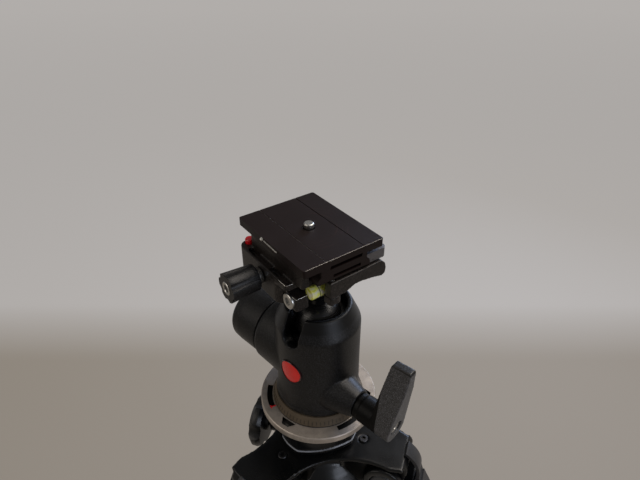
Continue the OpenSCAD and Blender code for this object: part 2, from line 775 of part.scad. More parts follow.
// clamp casting at the lower end of a tube: R holds the outer tube, r runs on the inner one
module lock_casting(R, r, z_end) {
  difference() {
    union() {
      translate([0, 0, z_end - 20]) cylinder(r = R + 3.6, h = lock_length);
      translate([0, 0, z_end - 20 + lock_length]) cylinder(r1 = R + 3.6, r2 = R + 1.4, h = 3);
      // lug of the flip lever
      rotate([0, 0, 115]) box(R + 1, R + 12, -6, 6, z_end - 16, z_end - 11);
      rotate([0, 0, 115]) box(R + 1, R + 12, -6, 6, z_end + 9, z_end + 14);
    }
    translate([0, 0, z_end]) cylinder(r = R + 0.02, h = 60);
    translate([0, 0, z_end - 30]) cylinder(r = r + run, h = 60);
    rotate([0, 0, 115]) translate([R + 8, 0, z_end - 30]) cylinder(r = 2 + run, h = 60);
    // split of the clamp below the outer tube
    rotate([0, 0, 115]) box(r - 2, R + 10, -0.8, 0.8, z_end - 21, z_end - 3);
  }
}

// lever that wraps round the front of the casting
module flip(R, z_end) {
  difference() {
    union() {
      rotate([0, 0, -55]) translate([0, 0, z_end - 10.6])
        rotate_extrude(angle = 168, $fn = 96) translate([R + 4, 0]) square([4.6, 19.2]);
      rotate([0, 0, 115]) translate([R + 8, 0, z_end - 10.6]) cylinder(r = 3.7, h = 19.2);
      rotate([0, 0, 115]) translate([R + 8, 0, z_end - 16.4]) cylinder(r = 2, h = 30.8);
    }
    // finger rim at the free end
    rotate([0, 0, -44]) translate([R + 9.4, 0, z_end - 20]) cylinder(r = 2.2, h = 40);
  }
}

module upper_lock(k) { color(black) leg(k) lock_casting(upper_r, mid_r, upper_end); }
module upper_flip(k) { color(dark) leg(k) flip(upper_r, upper_end); }
module lower_lock(k) { color(black) leg(k) lock_casting(mid_r, low_r, mid_end); }
module lower_flip(k) { color(dark) leg(k) flip(mid_r, mid_end); }

module knuckle_1() { knuckle(1); }
module knuckle_2() { knuckle(2); }
module knuckle_3() { knuckle(3); }
module selector_1() { selector(1); }
module selector_2() { selector(2); }
module selector_3() { selector(3); }
module upper_tube_1() { upper_tube(1); }
module upper_tube_2() { upper_tube(2); }
module upper_tube_3() { upper_tube(3); }
module upper_lock_1() { upper_lock(1); }
module upper_lock_2() { upper_lock(2); }
module upper_lock_3() { upper_lock(3); }
module upper_flip_1() { upper_flip(1); }
module upper_flip_2() { upper_flip(2); }
module upper_flip_3() { upper_flip(3); }
module mid_tube_1() { mid_tube(1); }
module mid_tube_2() { mid_tube(2); }
module mid_tube_3() { mid_tube(3); }
module lower_lock_1() { lower_lock(1); }
module lower_lock_2() { lower_lock(2); }
module lower_lock_3() { lower_lock(3); }
module lower_flip_1() { lower_flip(1); }
module lower_flip_2() { lower_flip(2); }
module lower_flip_3() { lower_flip(3); }
module low_tube_1() { low_tube(1); }
module low_tube_2() { low_tube(2); }
module low_tube_3() { low_tube(3); }
module foot_1() { foot(1); }
module foot_2() { foot(2); }
module foot_3() { foot(3); }

shoulder();
shoulder_screws();
pivot_bolts();
column_collar();
column_tube();
column_end_cap();
column_disc();
head_stud();
column_knob();
head_base();
pan_scale_ring();
ball_housing();
ball_stem();
ball_liner();
ball_seat();
lock_plunger();
lock_lever();
friction_knob();
pan_lock_knob();
badge_disc();
clamp_body();
clamp_centre_screw();
clamp_pivot_screw();
clamp_lever();
clamp_jaw();
tension_knob();
safety_button();
level_vial();
plate();
camera_screw();
knuckle_1();
selector_1();
upper_tube_1();
upper_lock_1();
upper_flip_1();
mid_tube_1();
lower_lock_1();
lower_flip_1();
low_tube_1();
foot_1();
knuckle_2();
selector_2();
upper_tube_2();
upper_lock_2();
upper_flip_2();
mid_tube_2();
lower_lock_2();
lower_flip_2();
low_tube_2();
foot_2();
knuckle_3();
selector_3();
upper_tube_3();
upper_lock_3();
upper_flip_3();
mid_tube_3();
lower_lock_3();
lower_flip_3();
low_tube_3();
foot_3();
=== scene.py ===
"""Dresses the camera tripod with its ball head, laid out as a Blender add-on and run as a script."""
import math

import bmesh
import bpy
from bpy.props import FloatProperty, FloatVectorProperty, IntProperty, PointerProperty
from bpy.types import Operator, Panel, PropertyGroup
from mathutils import Matrix, Vector
from mathutils.bvhtree import BVHTree


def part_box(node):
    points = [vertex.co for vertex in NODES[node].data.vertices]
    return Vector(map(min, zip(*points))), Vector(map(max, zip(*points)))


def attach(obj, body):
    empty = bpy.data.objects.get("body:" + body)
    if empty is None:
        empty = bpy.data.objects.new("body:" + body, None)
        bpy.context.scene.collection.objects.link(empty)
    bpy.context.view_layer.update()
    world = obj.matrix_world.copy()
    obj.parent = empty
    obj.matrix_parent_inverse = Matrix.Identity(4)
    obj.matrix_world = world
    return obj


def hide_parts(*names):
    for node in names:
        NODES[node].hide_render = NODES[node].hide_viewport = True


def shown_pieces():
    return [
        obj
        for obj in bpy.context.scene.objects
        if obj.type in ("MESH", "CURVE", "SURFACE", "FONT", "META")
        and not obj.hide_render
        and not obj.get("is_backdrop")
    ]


bl_info = {
    "name": "Ball head tripod",
    "version": (1, 0, 0),
    "blender": (4, 5, 0),
    "location": "View3D > Sidebar > Tripod",
    "description": "Finishes the castings, tubes, plate, level and badge of a tripod with a ball head",
    "category": "Object",
}

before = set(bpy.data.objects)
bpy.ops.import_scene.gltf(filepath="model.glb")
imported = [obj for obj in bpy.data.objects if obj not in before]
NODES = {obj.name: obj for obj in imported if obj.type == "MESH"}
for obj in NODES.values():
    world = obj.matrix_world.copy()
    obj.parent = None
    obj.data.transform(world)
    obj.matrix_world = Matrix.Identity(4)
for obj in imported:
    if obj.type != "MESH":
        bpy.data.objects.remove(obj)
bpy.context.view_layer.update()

# ---- places, metres in the row frame unless a comment says otherwise ----

# the head's own zero is the top of the metal disc, on the column's axis
DISC_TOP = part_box("column_disc")[1][2]
# everything of the disc inside this radius and deeper than this is painted dark as shade: the walls of its
# windows
WINDOW_R = 0.0391
WINDOW_DEPTH = 0.0004
# upper edge of the collar's flange, and the flange's height
COLLAR_RIM = DISC_TOP - 0.0365
FLANGE = 0.0035
# the collar's top is painted dark as shade, without sheen, down to this depth below its upper face
COLLAR_DARK = 0.0012
# the cup of the ball housing is painted dark as shade inside this radius
CUP_R = 0.0262
# the locking lever: where its neck, painted dark as shade, ends along x, and where its top, painted dark as
# shade, starts
LEVER_NECK = 0.0622
LEVER_TOP = DISC_TOP + 0.0792
# the locking lever's axis stands off the middle by this much, in millimetres
LEVER_Y = -6.0
# the badge: its turn about the housing, the radius that it bends to, and how far out it sits
BADGE_TURN = math.radians(-88.0)
BADGE_BEND = 0.0288
BADGE_OUT = 0.0285
# the clamp is turned on the stem by this much
CLAMP_TURN = math.radians(-11.8)
# millimetres in the clamp's frame: the plate's middle, the knob, the level
PLATE_X, PLATE_Y = -5.6, -2.6
KNOB_END = (-15, -56.4, 113)
KNOB_NECK = (-15, -33.3, 113)
LEVEL_START = (18.2, -19.6, 113)
LEVEL_R = 0.0042
# CAD corners closer than this are one
WELD = 2e-6
# half the floor's side, and how much of the backdrop's tone shows over the floor's own light
FLOOR_HALF = 8.0
BACKDROP_SHARE = 0.75

# ---- camera, worked out from the plate's corners, the rim, the disc and the roof screws ----
PHOTO_W = 640
PHOTO_H = 480
SENSOR = 36.0
LENS = 29.36
SHIFT_X = 0.0
SHIFT_Y = 0.0
CAMERA_AT = Vector((0.1786, -0.1964, DISC_TOP + 0.3063))
CAMERA_TURN = (math.radians(56.96), 0.0, math.radians(42.0))
# the level direction in which the camera looks, along which the backdrop's tone changes
CAMERA_WAY = (-0.669, 0.743, 0.0)

# named points of the photograph, in its 640 by 480 frame
PHOTO_POINTS = {
    "plate_left_corner": (238.9, 217.2),
    "plate_far_corner": (312.2, 191.7),
    "plate_right_corner": (384.3, 237.8),
    "plate_near_corner": (303.3, 272.8),
    "camera_screw": (309.0, 226.5),
    "hex_screw": (287.8, 301.7),
    "level": (320.0, 290.0),
    "button": (247.5, 239.0),
    "tension_knob_end": (227.5, 287.5),
    "badge": (289.7, 372.1),
    "lever_top": (403.5, 368.0),
    "lever_screw": (395.6, 427.4),
    "roof_screw_left": (281.8, 455.4),
    "roof_screw_right": (362.4, 438.3),
    "red_mark": (273.5, 406.0),
    "stop_pin": (262.0, 239.0),
}
# both ends of the painted highlight along the polished edge below the plate's left side
EDGE_HIGHLIGHT_ENDS = ((264.0, 241.0), (277.0, 253.0))


def clamp_point(along, across, up):
    """A point of the clamp's own frame, in millimetres, in the row frame."""
    x = along * math.cos(CLAMP_TURN) - across * math.sin(CLAMP_TURN)
    y = along * math.sin(CLAMP_TURN) + across * math.cos(CLAMP_TURN)
    return head_point(x, y, up)


def head_point(x, y, up):
    """A point given in millimetres from the top of the disc, in the row frame."""
    return Vector((x / 1000, y / 1000, DISC_TOP + up / 1000))


# ---- sizes and colours ----


def linear(text):
    """An sRGB hex colour as linear red, green, blue and alpha."""
    parts = [int(text[i:i + 2], 16) / 255 for i in (1, 3, 5)]
    return [c / 12.92 if c <= 0.04045 else ((c + 0.055) / 1.055) ** 2.4 for c in parts] + [1.0]


def colour(name, about, text):
    return FloatVectorProperty(name=name, description=about, subtype="COLOR", size=4,
                               min=0.0, max=1.0, default=linear(text))


def length(name, about, value, low, high):
    return FloatProperty(name=name, description=about, default=value, min=low, max=high,
                         subtype="DISTANCE", unit="LENGTH")


class CastingSettings(PropertyGroup):
    paint: colour("Paint", "Textured black paint of the head's castings", "#101011")
    clamp_paint: colour("Clamp paint", "Dusty brown black paint of the clamp", "#1a1614")
    gloss_paint: colour("Shoulder paint", "Glossier black paint of shoulder, leg tops and collar", "#090a0b")
    grain: length("Grain", "Size of the paint's grain", 0.0007, 0.0002, 0.003)
    voxel: length("Rounding", "Edge rounding of housing and friction knob", 0.0007, 0.0005, 0.002)


class MetalSettings(PropertyGroup):
    disc: colour("Disc", "Worn metal of the head disc", "#b4aa9f")
    steel: colour("Steel", "Plain steel screws", "#c9c8c4")
    plate: colour("Plate", "Black brown anodised plate", "#160c0a")
    tube: colour("Tubes", "Black anodised tubes", "#1c1c1e")


class PlasticSettings(PropertyGroup):
    lever: colour("Lever", "Grained black plastic of levers and knobs", "#38383a")
    rubber: colour("Feet", "Black rubber of the feet", "#1e1e1e")
    red: colour("Red", "Button and red mark", "#dc1522")
    badge: colour("Badge", "Red enamel of the badge", "#e01c14")
    liquid: colour("Level", "Liquid of the level", "#d6dc5a")
    badge_dome: length("Badge dome", "How far the badge domes out", 0.0004, 0.0, 0.002)
    ticks: IntProperty(name="Ticks", description="Number of ticks on the pan scale", default=72,
                       min=12, max=180)


class StageSettings(PropertyGroup):
    floor: colour("Floor", "Plain pale floor", "#cfcac4")
    key: FloatProperty(name="Key light", description="Power of the main lamp", default=13.0, min=0.0,
                       unit="POWER")
    fill: FloatProperty(name="Fill light", description="Power from which the three other lamps are set",
                        default=6.0, min=0.0, unit="POWER")
    sky: FloatProperty(name="Room light", description="Strength of the even light", default=0.2, min=0.0)
    wall_far: colour("Backdrop, far", "How the backdrop shows behind the top of the object", "#c3bfbc")
    wall_near: colour("Backdrop, near", "How the backdrop shows behind the foot of the object", "#8a8175")


# ---- node helpers ----


def fill(tree, node, inputs):
    """Fills inputs, by name or number, with values, sockets, or nodes, which give their output in use."""
    for key, value in inputs.items():
        socket = node.inputs[key] if isinstance(key, int) else \
            next(s for s in node.inputs if s.enabled and s.name == key)
        if isinstance(value, bpy.types.Node):
            value = next(s for s in value.outputs if s.enabled)
        if isinstance(value, bpy.types.NodeSocket):
            tree.links.new(value, socket)
        else:
            socket.default_value = value


def add(tree, kind, inputs=None, stops=(), **settings):
    """Adds one node with its settings, its inputs and, on a ramp, its (position, colour) stops."""
    made = tree.nodes.new(kind)
    for key, value in settings.items():
        setattr(made, key, value)
    fill(tree, made, inputs or {})
    for i, (position, tone) in enumerate(stops):
        points = made.color_ramp.elements
        point = points[0] if i == 0 else points[-1] if i == len(stops) - 1 else points.new(position)
        point.position, point.color = position, tone
    return made


def material(name):
    """A new node material, its tree and its object coordinates."""
    made = bpy.data.materials.new(name)
    made.use_nodes = True
    return made, made.node_tree, add(made.node_tree, "ShaderNodeTexCoord").outputs["Object"]


def grey(level):
    return (level, level, level, 1.0)


def tint(colour_value, factor):
    return [min(1.0, c * factor) for c in colour_value[:3]] + [1.0]


# ---- mesh helpers ----


def dress(obj, finish):
    """Gives the whole object one material."""
    obj.data.materials.clear()
    obj.data.materials.append(finish)


def piece(name, mesh, finish, body, stands_for=()):
    """A finished piece: its place is in its mesh, and it rides on a body."""
    obj = bpy.data.objects.new(name, mesh)
    bpy.context.scene.collection.objects.link(obj)
    if finish:
        dress(obj, finish)
    if stands_for:
        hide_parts(*stands_for)
    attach(obj, body)
    return obj


def settled(work, name):
    """The plain mesh of a bmesh, which is given up."""
    mesh = bpy.data.meshes.new(name)
    work.to_mesh(mesh)
    work.free()
    return mesh


def circle(radius, steps):
    """The points of a circle, as pairs."""
    turns = [2 * math.pi * i / steps for i in range(steps)]
    return [(radius * math.cos(turn), radius * math.sin(turn)) for turn in turns]


def lathe(name, profile, centre, axis, steps):
    """A turned mesh. The profile is a list of (radius, height) in metres along the axis, and each of
    its two ends gets a flat cap."""
    turn = Vector((0, 0, 1)).rotation_difference(Vector(axis)).to_matrix().to_4x4()
    work = bmesh.new()
    rings = []
    for radius, height in profile:
        around = circle(radius, steps) if radius else [(0, 0)]
        rings.append([work.verts.new((x, y, height)) for x, y in around])
    for low, high in zip(rings, rings[1:]):
        for i in range(steps):
            j = (i + 1) % steps
            if len(low) == 1:
                work.faces.new((low[0], high[i], high[j]))
            elif len(high) == 1:
                work.faces.new((low[i], low[j], high[0]))
            else:
                work.faces.new((low[i], low[j], high[j], high[i]))
    for ring in (rings[0][::-1], rings[-1]):
        if len(ring) > 1:
            work.faces.new(ring)
    bmesh.ops.recalc_face_normals(work, faces=work.faces)
    work.transform(Matrix.Translation(centre) @ turn)
    mesh = settled(work, name)
    smooth_by_angle(mesh, 30)
    return mesh


def smooth_by_angle(mesh, degrees):
    """Smooth shading, with edges sharper than the angle kept sharp."""
    work = bmesh.new()
    work.from_mesh(mesh)
    for face in work.faces:
        face.smooth = True
    limit = math.radians(degrees)
    for edge in work.edges:
        edge.smooth = len(edge.link_faces) == 2 and edge.calc_face_angle(0) < limit
    work.to_mesh(mesh)
    work.free()


def relaxed_casting(node, name, voxel, passes, finish, body):
    """A casting's skin: a CAD node remeshed and relaxed, so its edges and inner corners are round."""
    work = bmesh.new()
    work.from_mesh(NODES[node].data)
    bmesh.ops.remove_doubles(work, verts=work.verts, dist=WELD)
    obj = bpy.data.objects.new(name, settled(work, name))
    bpy.context.scene.collection.objects.link(obj)
    remesh = obj.modifiers.new("Remesh", "REMESH")
    remesh.mode = "VOXEL"
    remesh.voxel_size = voxel
    remesh.use_smooth_shade = True
    relax = obj.modifiers.new("Relax", "SMOOTH")
    relax.factor = 0.5
    relax.iterations = passes
    view = bpy.context.evaluated_depsgraph_get()
    mesh = bpy.data.meshes.new_from_object(obj.evaluated_get(view))
    mesh.name = name
    bpy.data.objects.remove(obj)
    mesh.shade_smooth()
    return piece(name, mesh, finish, body, (node,))


def rod(name, points, radius, finish, body):
    """A thin closed eight-sided rod along points, for a bright line painted along an edge."""
    sides = 8
    work = bmesh.new()
    rings = []
    for i, point in enumerate(points):
        before, after = points[max(i - 1, 0)], points[min(i + 1, len(points) - 1)]
        way = (after - before).normalized()
        side = way.cross(Vector((0, 0, 1))).normalized()
        up = side.cross(way)
        rings.append([work.verts.new(point + side * x + up * y) for x, y in circle(radius, sides)])
    for low, high in zip(rings, rings[1:]):
        for k in range(sides):
            j = (k + 1) % sides
            work.faces.new((low[k], low[j], high[j], high[k]))
    work.faces.new(rings[0][::-1])
    work.faces.new(rings[-1])
    bmesh.ops.recalc_face_normals(work, faces=work.faces)
    mesh = settled(work, name + "_mesh")
    smooth_by_angle(mesh, 50)
    return piece(name, mesh, finish, body)


def dress_nodes(rows):
    """Gives CAD nodes their finish, and small rounded edges over a welded skin where a width is given."""
    for node, finish, width in rows:
        obj = NODES[node]
        dress(obj, finish)
        if width:
            weld = obj.modifiers.new("Weld", "WELD")
            weld.merge_threshold = WELD
            bevel = obj.modifiers.new("Edges", "BEVEL")
            bevel.width = width
            bevel.segments = 2
            bevel.limit_method = "ANGLE"
            bevel.angle_limit = math.radians(32)
            bevel.harden_normals = False


# ---- parts of finishes ----


def around_axis(tree, place):
    """The distance from the upright axis at a place."""
    parts = add(tree, "ShaderNodeSeparateXYZ", {"Vector": place})
    flat = add(tree, "ShaderNodeCombineXYZ", {"X": parts.outputs["X"], "Y": parts.outputs["Y"]})
    return add(tree, "ShaderNodeVectorMath", {0: flat}, operation="LENGTH")


def near(tree, value, middle, start, end, gain):
    """The gain where a value is closer to a middle than start, falling to nothing at end."""
    off = add(tree, "ShaderNodeMath", {0: value, 1: middle}, operation="SUBTRACT")
    far = add(tree, "ShaderNodeMath", {0: off}, operation="ABSOLUTE")
    return add(tree, "ShaderNodeMapRange", {"Value": far, "From Min": start, "From Max": end,
                                            "To Min": gain, "To Max": 0.0})


def wear_and_painted_light(tree, base, mask, pattern, tone):
    """A tone laid over a base where a mask and a pattern meet: real dust and wear, and also painted
    highlights and painted shade.
    """
    both = add(tree, "ShaderNodeMath", {0: mask, 1: pattern}, operation="MULTIPLY")
    return add(tree, "ShaderNodeMix", {"Factor": both, "A": base, "B": tone}, data_type="RGBA")


def surface(tree, base, rough, bump=None, fixed=None):
    """Joins a finish to its shader. Roughness is (pattern, from, to, low, high), bump is (pattern,
    strength, metres), and the fixed values are the same all over."""
    shader = tree.nodes["Principled BSDF"]
    pattern, start, end, low, high = rough
    spread = add(tree, "ShaderNodeMapRange", {"Value": pattern, "From Min": start, "From Max": end,
                                              "To Min": low, "To Max": high})
    fill(tree, shader, {"Base Color": base, "Roughness": spread})
    fill(tree, shader, fixed or {})
    if bump:
        pattern, strength, depth = bump
        relief = add(tree, "ShaderNodeBump", {"Height": pattern, "Strength": strength, "Distance": depth})
        fill(tree, shader, {"Normal": relief})


# ---- finishes ----


def textured_paint(name, paint, grain, rough, painted_shade_within=0.0):
    """Sand textured powder paint: it gives dull broad highlights with a fine sparkle of grains."""
    made, tree, place = material(name)
    # grain of about 0.7 mm, coarser than the real 0.2 mm so that it shows
    fine = add(tree, "ShaderNodeTexNoise", {"Vector": place, "Scale": 1 / grain, "Detail": 3.0,
                                            "Roughness": 0.6})
    # cloudy tone over about 30 mm from handling
    cloud = add(tree, "ShaderNodeTexNoise", {"Vector": place, "Scale": 1 / 0.03, "Detail": 3.0})
    grains = add(tree, "ShaderNodeValToRGB", {"Fac": fine}, ((0.46, grey(0.0)), (0.72, grey(1.0))))
    base = add(tree, "ShaderNodeMix", {"Factor": grains, "A": tint(paint, 0.4), "B": tint(paint, 5.0)},
               data_type="RGBA")
    worn = add(tree, "ShaderNodeValToRGB", {"Fac": cloud}, ((0.35, grey(0.82)), (0.7, grey(1.15))))
    base = add(tree, "ShaderNodeMix", {"Factor": 1.0, "A": base, "B": worn},
               data_type="RGBA", blend_type="MULTIPLY")
    if painted_shade_within:
        # painted shade: the unlit inside of the cup is painted near black
        cup_shade = add(tree, "ShaderNodeMapRange", {
            "Value": around_axis(tree, place), "From Min": painted_shade_within - 0.0004, "From Max": painted_shade_within,
            "To Min": 1.0, "To Max": 0.0})
        base = add(tree, "ShaderNodeMix", {"Factor": cup_shade, "A": base, "B": linear("#050505")},
                   data_type="RGBA")
    surface(tree, base, (cloud, 0.3, 0.7, rough - 0.06, rough + 0.06), (fine, 0.6, 0.00012),
            {"Specular IOR Level": 0.3})
    return made


def gloss_paint(name, paint, highlight_bands=(), painted_shade_top=None):
    """Sprayed gloss paint over a casting: near black with soft waves in its highlights."""
    made, tree, place = material(name)
    # orange peel of about 1.6 mm, dust of 0.9 mm that lies on faces turned up, cloudy tone over 20 mm
    peel = add(tree, "ShaderNodeTexNoise", {"Vector": place, "Scale": 1 / 0.0016, "Detail": 2.0})
    dust = add(tree, "ShaderNodeTexNoise", {"Vector": place, "Scale": 1 / 0.0009, "Detail": 5.0,
                                            "Roughness": 0.7})
    cloud = add(tree, "ShaderNodeTexNoise", {"Vector": place, "Scale": 1 / 0.02, "Detail": 3.0})
    facing = add(tree, "ShaderNodeNewGeometry").outputs["Normal"]
    facing = add(tree, "ShaderNodeSeparateXYZ", {"Vector": facing}).outputs["Z"]
    lying = add(tree, "ShaderNodeMapRange", {"Value": facing, "From Min": 0.5, "From Max": 1.0,
                                             "To Min": 0.0, "To Max": 0.22})
    specks = add(tree, "ShaderNodeValToRGB", {"Fac": dust}, ((0.55, grey(0.0)), (0.75, grey(1.0))))
    base = add(tree, "ShaderNodeMix", {"Factor": cloud, "A": tint(paint, 0.8), "B": tint(paint, 1.3)},
               data_type="RGBA")
    base = wear_and_painted_light(tree, base, lying, specks, linear("#3a3733"))
    height = add(tree, "ShaderNodeSeparateXYZ", {"Vector": place}).outputs["Z"]
    # painted highlight with some wear: the flange edges are painted bright where they catch the light,
    # broken up along their length
    broken = add(tree, "ShaderNodeValToRGB", {"Fac": cloud}, ((0.36, grey(0.5)), (0.52, grey(1.0))))
    for middle, width, gain in highlight_bands:
        highlight_band = near(tree, height, middle, width * 0.4, width, gain)
        base = wear_and_painted_light(tree, base, highlight_band, broken, linear("#b4b8c0"))
    specular, coat = 0.25, 0.15
    if painted_shade_top:
        # painted shade: the unlit top under the disc, above a height, is painted dull black with its sheen
        # and coat taken away
        high = add(tree, "ShaderNodeMapRange", {"Value": height, "From Min": painted_shade_top - 0.0004,
                                                "From Max": painted_shade_top})
        base = add(tree, "ShaderNodeMix", {"Factor": high, "A": base, "B": linear("#030303")},
                   data_type="RGBA")
        specular = add(tree, "ShaderNodeMapRange", {"Value": high, "To Min": specular, "To Max": 0.0})
        coat = add(tree, "ShaderNodeMapRange", {"Value": high, "To Min": coat, "To Max": 0.0})
    surface(tree, base, (cloud, 0.3, 0.7, 0.25, 0.37), (peel, 0.25, 0.00008),
            {"Specular IOR Level": specular, "Coat Weight": coat, "Coat Roughness": 0.12})
    return made


def grained_plastic(name, base_colour, flecks, rough, painted_shade_above=None, painted_shade_within=None):
    """Moulded glass-filled nylon: spark-eroded grain of fine pits with pale flecks."""
    made, tree, place = material(name)
    # pits of about 0.8 mm drawn coarse to show, real grain is near 0.3 mm
    pits = add(tree, "ShaderNodeTexVoronoi", {"Vector": place, "Scale": 1 / 0.0008, "Randomness": 1.0})
    fine = add(tree, "ShaderNodeTexNoise", {"Vector": place, "Scale": 1 / 0.0005, "Detail": 2.0})
    spots = add(tree, "ShaderNodeValToRGB", {"Fac": fine}, ((0.5, grey(0.0)), (0.72, grey(1.0))))
    base = add(tree, "ShaderNodeMix", {"Factor": spots, "A": tint(base_colour, 0.6),
                                       "B": tint(base_colour, flecks)}, data_type="RGBA")
    fixed = {}
    if painted_shade_above:
        # painted shade: the top above a height is painted dark, and the neck up to an x is painted darker
        # with its sheen taken down
        parts = add(tree, "ShaderNodeSeparateXYZ", {"Vector": place}).outputs
        high = add(tree, "ShaderNodeMapRange", {"Value": parts["Z"], "From Min": painted_shade_above - 0.0006,
                                                "From Max": painted_shade_above})
        base = add(tree, "ShaderNodeMix", {"Factor": high, "A": base, "B": linear("#0a0a0a")},
                   data_type="RGBA")
        neck_shade = add(tree, "ShaderNodeMapRange", {"Value": parts["X"], "From Min": painted_shade_within - 0.0004,
                                                 "From Max": painted_shade_within, "To Min": 1.0, "To Max": 0.0})
        base = add(tree, "ShaderNodeMix", {"Factor": neck_shade, "A": base, "B": linear("#060606")},
                   data_type="RGBA")
        fixed["Specular IOR Level"] = add(tree, "ShaderNodeMapRange", {"Value": neck_shade, "To Min": 0.5,
                                                                       "To Max": 0.12})
    surface(tree, base, (fine, 0.0, 1.0, rough - 0.06, rough + 0.08), (pits, 0.35, 0.0001), fixed)
    return made


def turned_metal(name, base_colour, rough, pitch, metallic, wear, shaded_windows=None):
    """Metal turned on a lathe: fine rings about an upright axis, with handling marks across them."""
    made, tree, place = material(name)
    radius = around_axis(tree, place)
    # the tool's feed rings, one noise step per pitch, stains of 12 mm and specks of 1.2 mm
    rings = add(tree, "ShaderNodeTexNoise", {"W": radius, "Scale": 1 / pitch, "Detail": 2.0},
                noise_dimensions="1D")
    stains = add(tree, "ShaderNodeTexNoise", {"Vector": place, "Scale": 1 / 0.012, "Detail": 6.0,
                                              "Roughness": 0.65})
    specks = add(tree, "ShaderNodeTexNoise", {"Vector": place, "Scale": 1 / 0.0012, "Detail": 3.0})
    worn = add(tree, "ShaderNodeValToRGB", {"Fac": stains}, (
        (0.3, tint(base_colour, 1 - 0.45 * wear)), (0.55, base_colour),
        (0.75, tint(base_colour, 1 + 0.35 * wear))))
    marks = add(tree, "ShaderNodeValToRGB", {"Fac": specks}, ((0.6, grey(0.0)), (0.8, grey(0.6))))
    base = add(tree, "ShaderNodeMix", {"Factor": marks, "A": worn, "B": tint(base_colour, 1.5)},
               data_type="RGBA")
    if shaded_windows:
        # painted shade on the unlit walls of the cut windows: everything inside a radius and below a height
        reach, top = shaded_windows
        height = add(tree, "ShaderNodeSeparateXYZ", {"Vector": place}).outputs["Z"]
        low = add(tree, "ShaderNodeMapRange", {"Value": height, "From Min": top - 0.0002,
                                               "From Max": top, "To Min": 1.0, "To Max": 0.0})
        inside = add(tree, "ShaderNodeMapRange", {"Value": radius, "From Min": reach,
                                                  "From Max": reach + 0.0002, "To Min": 1.0, "To Max": 0.0})
        base = wear_and_painted_light(tree, base, low, inside, linear("#040404"))
    surface(tree, base, (rings, 0.3, 0.7, rough - 0.07, rough + 0.1), (rings, 0.2, 0.00005),
            {"Metallic": metallic})
    return made


def anodised_tube(name, base_colour):
    """Drawn and anodised aluminium tube: satin black with faint lines along its length."""
    made, tree, place = material(name)
    # draw lines about 0.6 mm wide, stretched along the tube's mainly upright direction
    drawn = add(tree, "ShaderNodeMapping", {"Vector": place, "Scale": (1.0, 1.0, 0.06)})
    lines = add(tree, "ShaderNodeTexNoise", {"Vector": drawn, "Scale": 1 / 0.0006, "Detail": 2.0})
    # cloudy tone over about 50 mm
    cloud = add(tree, "ShaderNodeTexNoise", {"Vector": place, "Scale": 1 / 0.05, "Detail": 4.0})
    base = add(tree, "ShaderNodeMix", {"Factor": cloud, "A": tint(base_colour, 0.8),
                                       "B": tint(base_colour, 1.25)}, data_type="RGBA")
    surface(tree, base, (lines, 0.0, 1.0, 0.26, 0.44), (lines, 0.1, 0.00003), {"Metallic": 0.75})
    return made


def plate_anodising(name, base_colour, centre):
    """Bead blasted and anodised plate: satin brown black with pale arcs where cameras were turned on it."""
    made, tree, place = material(name)
    at = add(tree, "ShaderNodeMapping", {"Vector": place, "Location": [-c for c in centre]})
    # blasted grain of about 0.5 mm, cloudy tone over 18 mm
    grain = add(tree, "ShaderNodeTexNoise", {"Vector": place, "Scale": 1 / 0.0005, "Detail": 3.0})
    cloud = add(tree, "ShaderNodeTexNoise", {"Vector": place, "Scale": 1 / 0.018, "Detail": 4.0})
    base = add(tree, "ShaderNodeMix", {"Factor": cloud, "A": tint(base_colour, 0.85),
                                       "B": tint(base_colour, 1.18)}, data_type="RGBA")
    specks = add(tree, "ShaderNodeValToRGB", {"Fac": grain}, ((0.62, grey(0.0)), (0.8, grey(0.35))))
    base = add(tree, "ShaderNodeMix", {"Factor": specks, "A": base, "B": tint(base_colour, 2.2)},
               data_type="RGBA")
    # rubbed arcs at three radii, each broken up by a coarse noise of 22 mm
    patch = add(tree, "ShaderNodeTexNoise", {"Vector": at, "Scale": 1 / 0.022, "Detail": 1.0})
    patchy = add(tree, "ShaderNodeValToRGB", {"Fac": patch}, ((0.5, grey(0.0)), (0.62, grey(1.0))))
    radius = around_axis(tree, at)
    for arc, bright in ((0.0172, 0.75), (0.0205, 0.5), (0.0236, 0.65)):
        line = near(tree, radius, arc, 0.0, 0.0004, bright)
        base = wear_and_painted_light(tree, base, line, patchy, tint(base_colour, 4.0))
    surface(tree, base, (cloud, 0.0, 1.0, 0.4, 0.58), (grain, 0.2, 0.00005),
            {"Metallic": 0.12, "Specular IOR Level": 0.2})
    return made


def bare_steel(name, base_colour, rough):
    """Plated steel and other bare metal: bright with small darker specks."""
    made, tree, place = material(name)
    # specks of about 0.6 mm
    specks = add(tree, "ShaderNodeTexNoise", {"Vector": place, "Scale": 1 / 0.0006, "Detail": 3.0})
    base = add(tree, "ShaderNodeValToRGB", {"Fac": specks},
               ((0.35, tint(base_colour, 0.6)), (0.55, base_colour)))
    surface(tree, base, (specks, 0.0, 1.0, rough - 0.08, rough + 0.14), (specks, 0.15, 0.00004),
            {"Metallic": 1.0})
    return made


def moulded_gloss(name, base_colour, rough):
    """Glossy moulded plastic or filled enamel: clear surface over an even colour with slight depth."""
    made, tree, place = material(name)
    # faint flow marks of about 4 mm
    flow = add(tree, "ShaderNodeTexNoise", {"Vector": place, "Scale": 1 / 0.004, "Detail": 2.0})
    base = add(tree, "ShaderNodeMix", {"Factor": flow, "A": tint(base_colour, 0.86),
                                       "B": tint(base_colour, 1.1)}, data_type="RGBA")
    surface(tree, base, (flow, 0.0, 1.0, rough, rough + 0.1), None,
            {"Specular IOR Level": 0.35, "Coat Weight": 0.25, "Coat Roughness": 0.08})
    return made


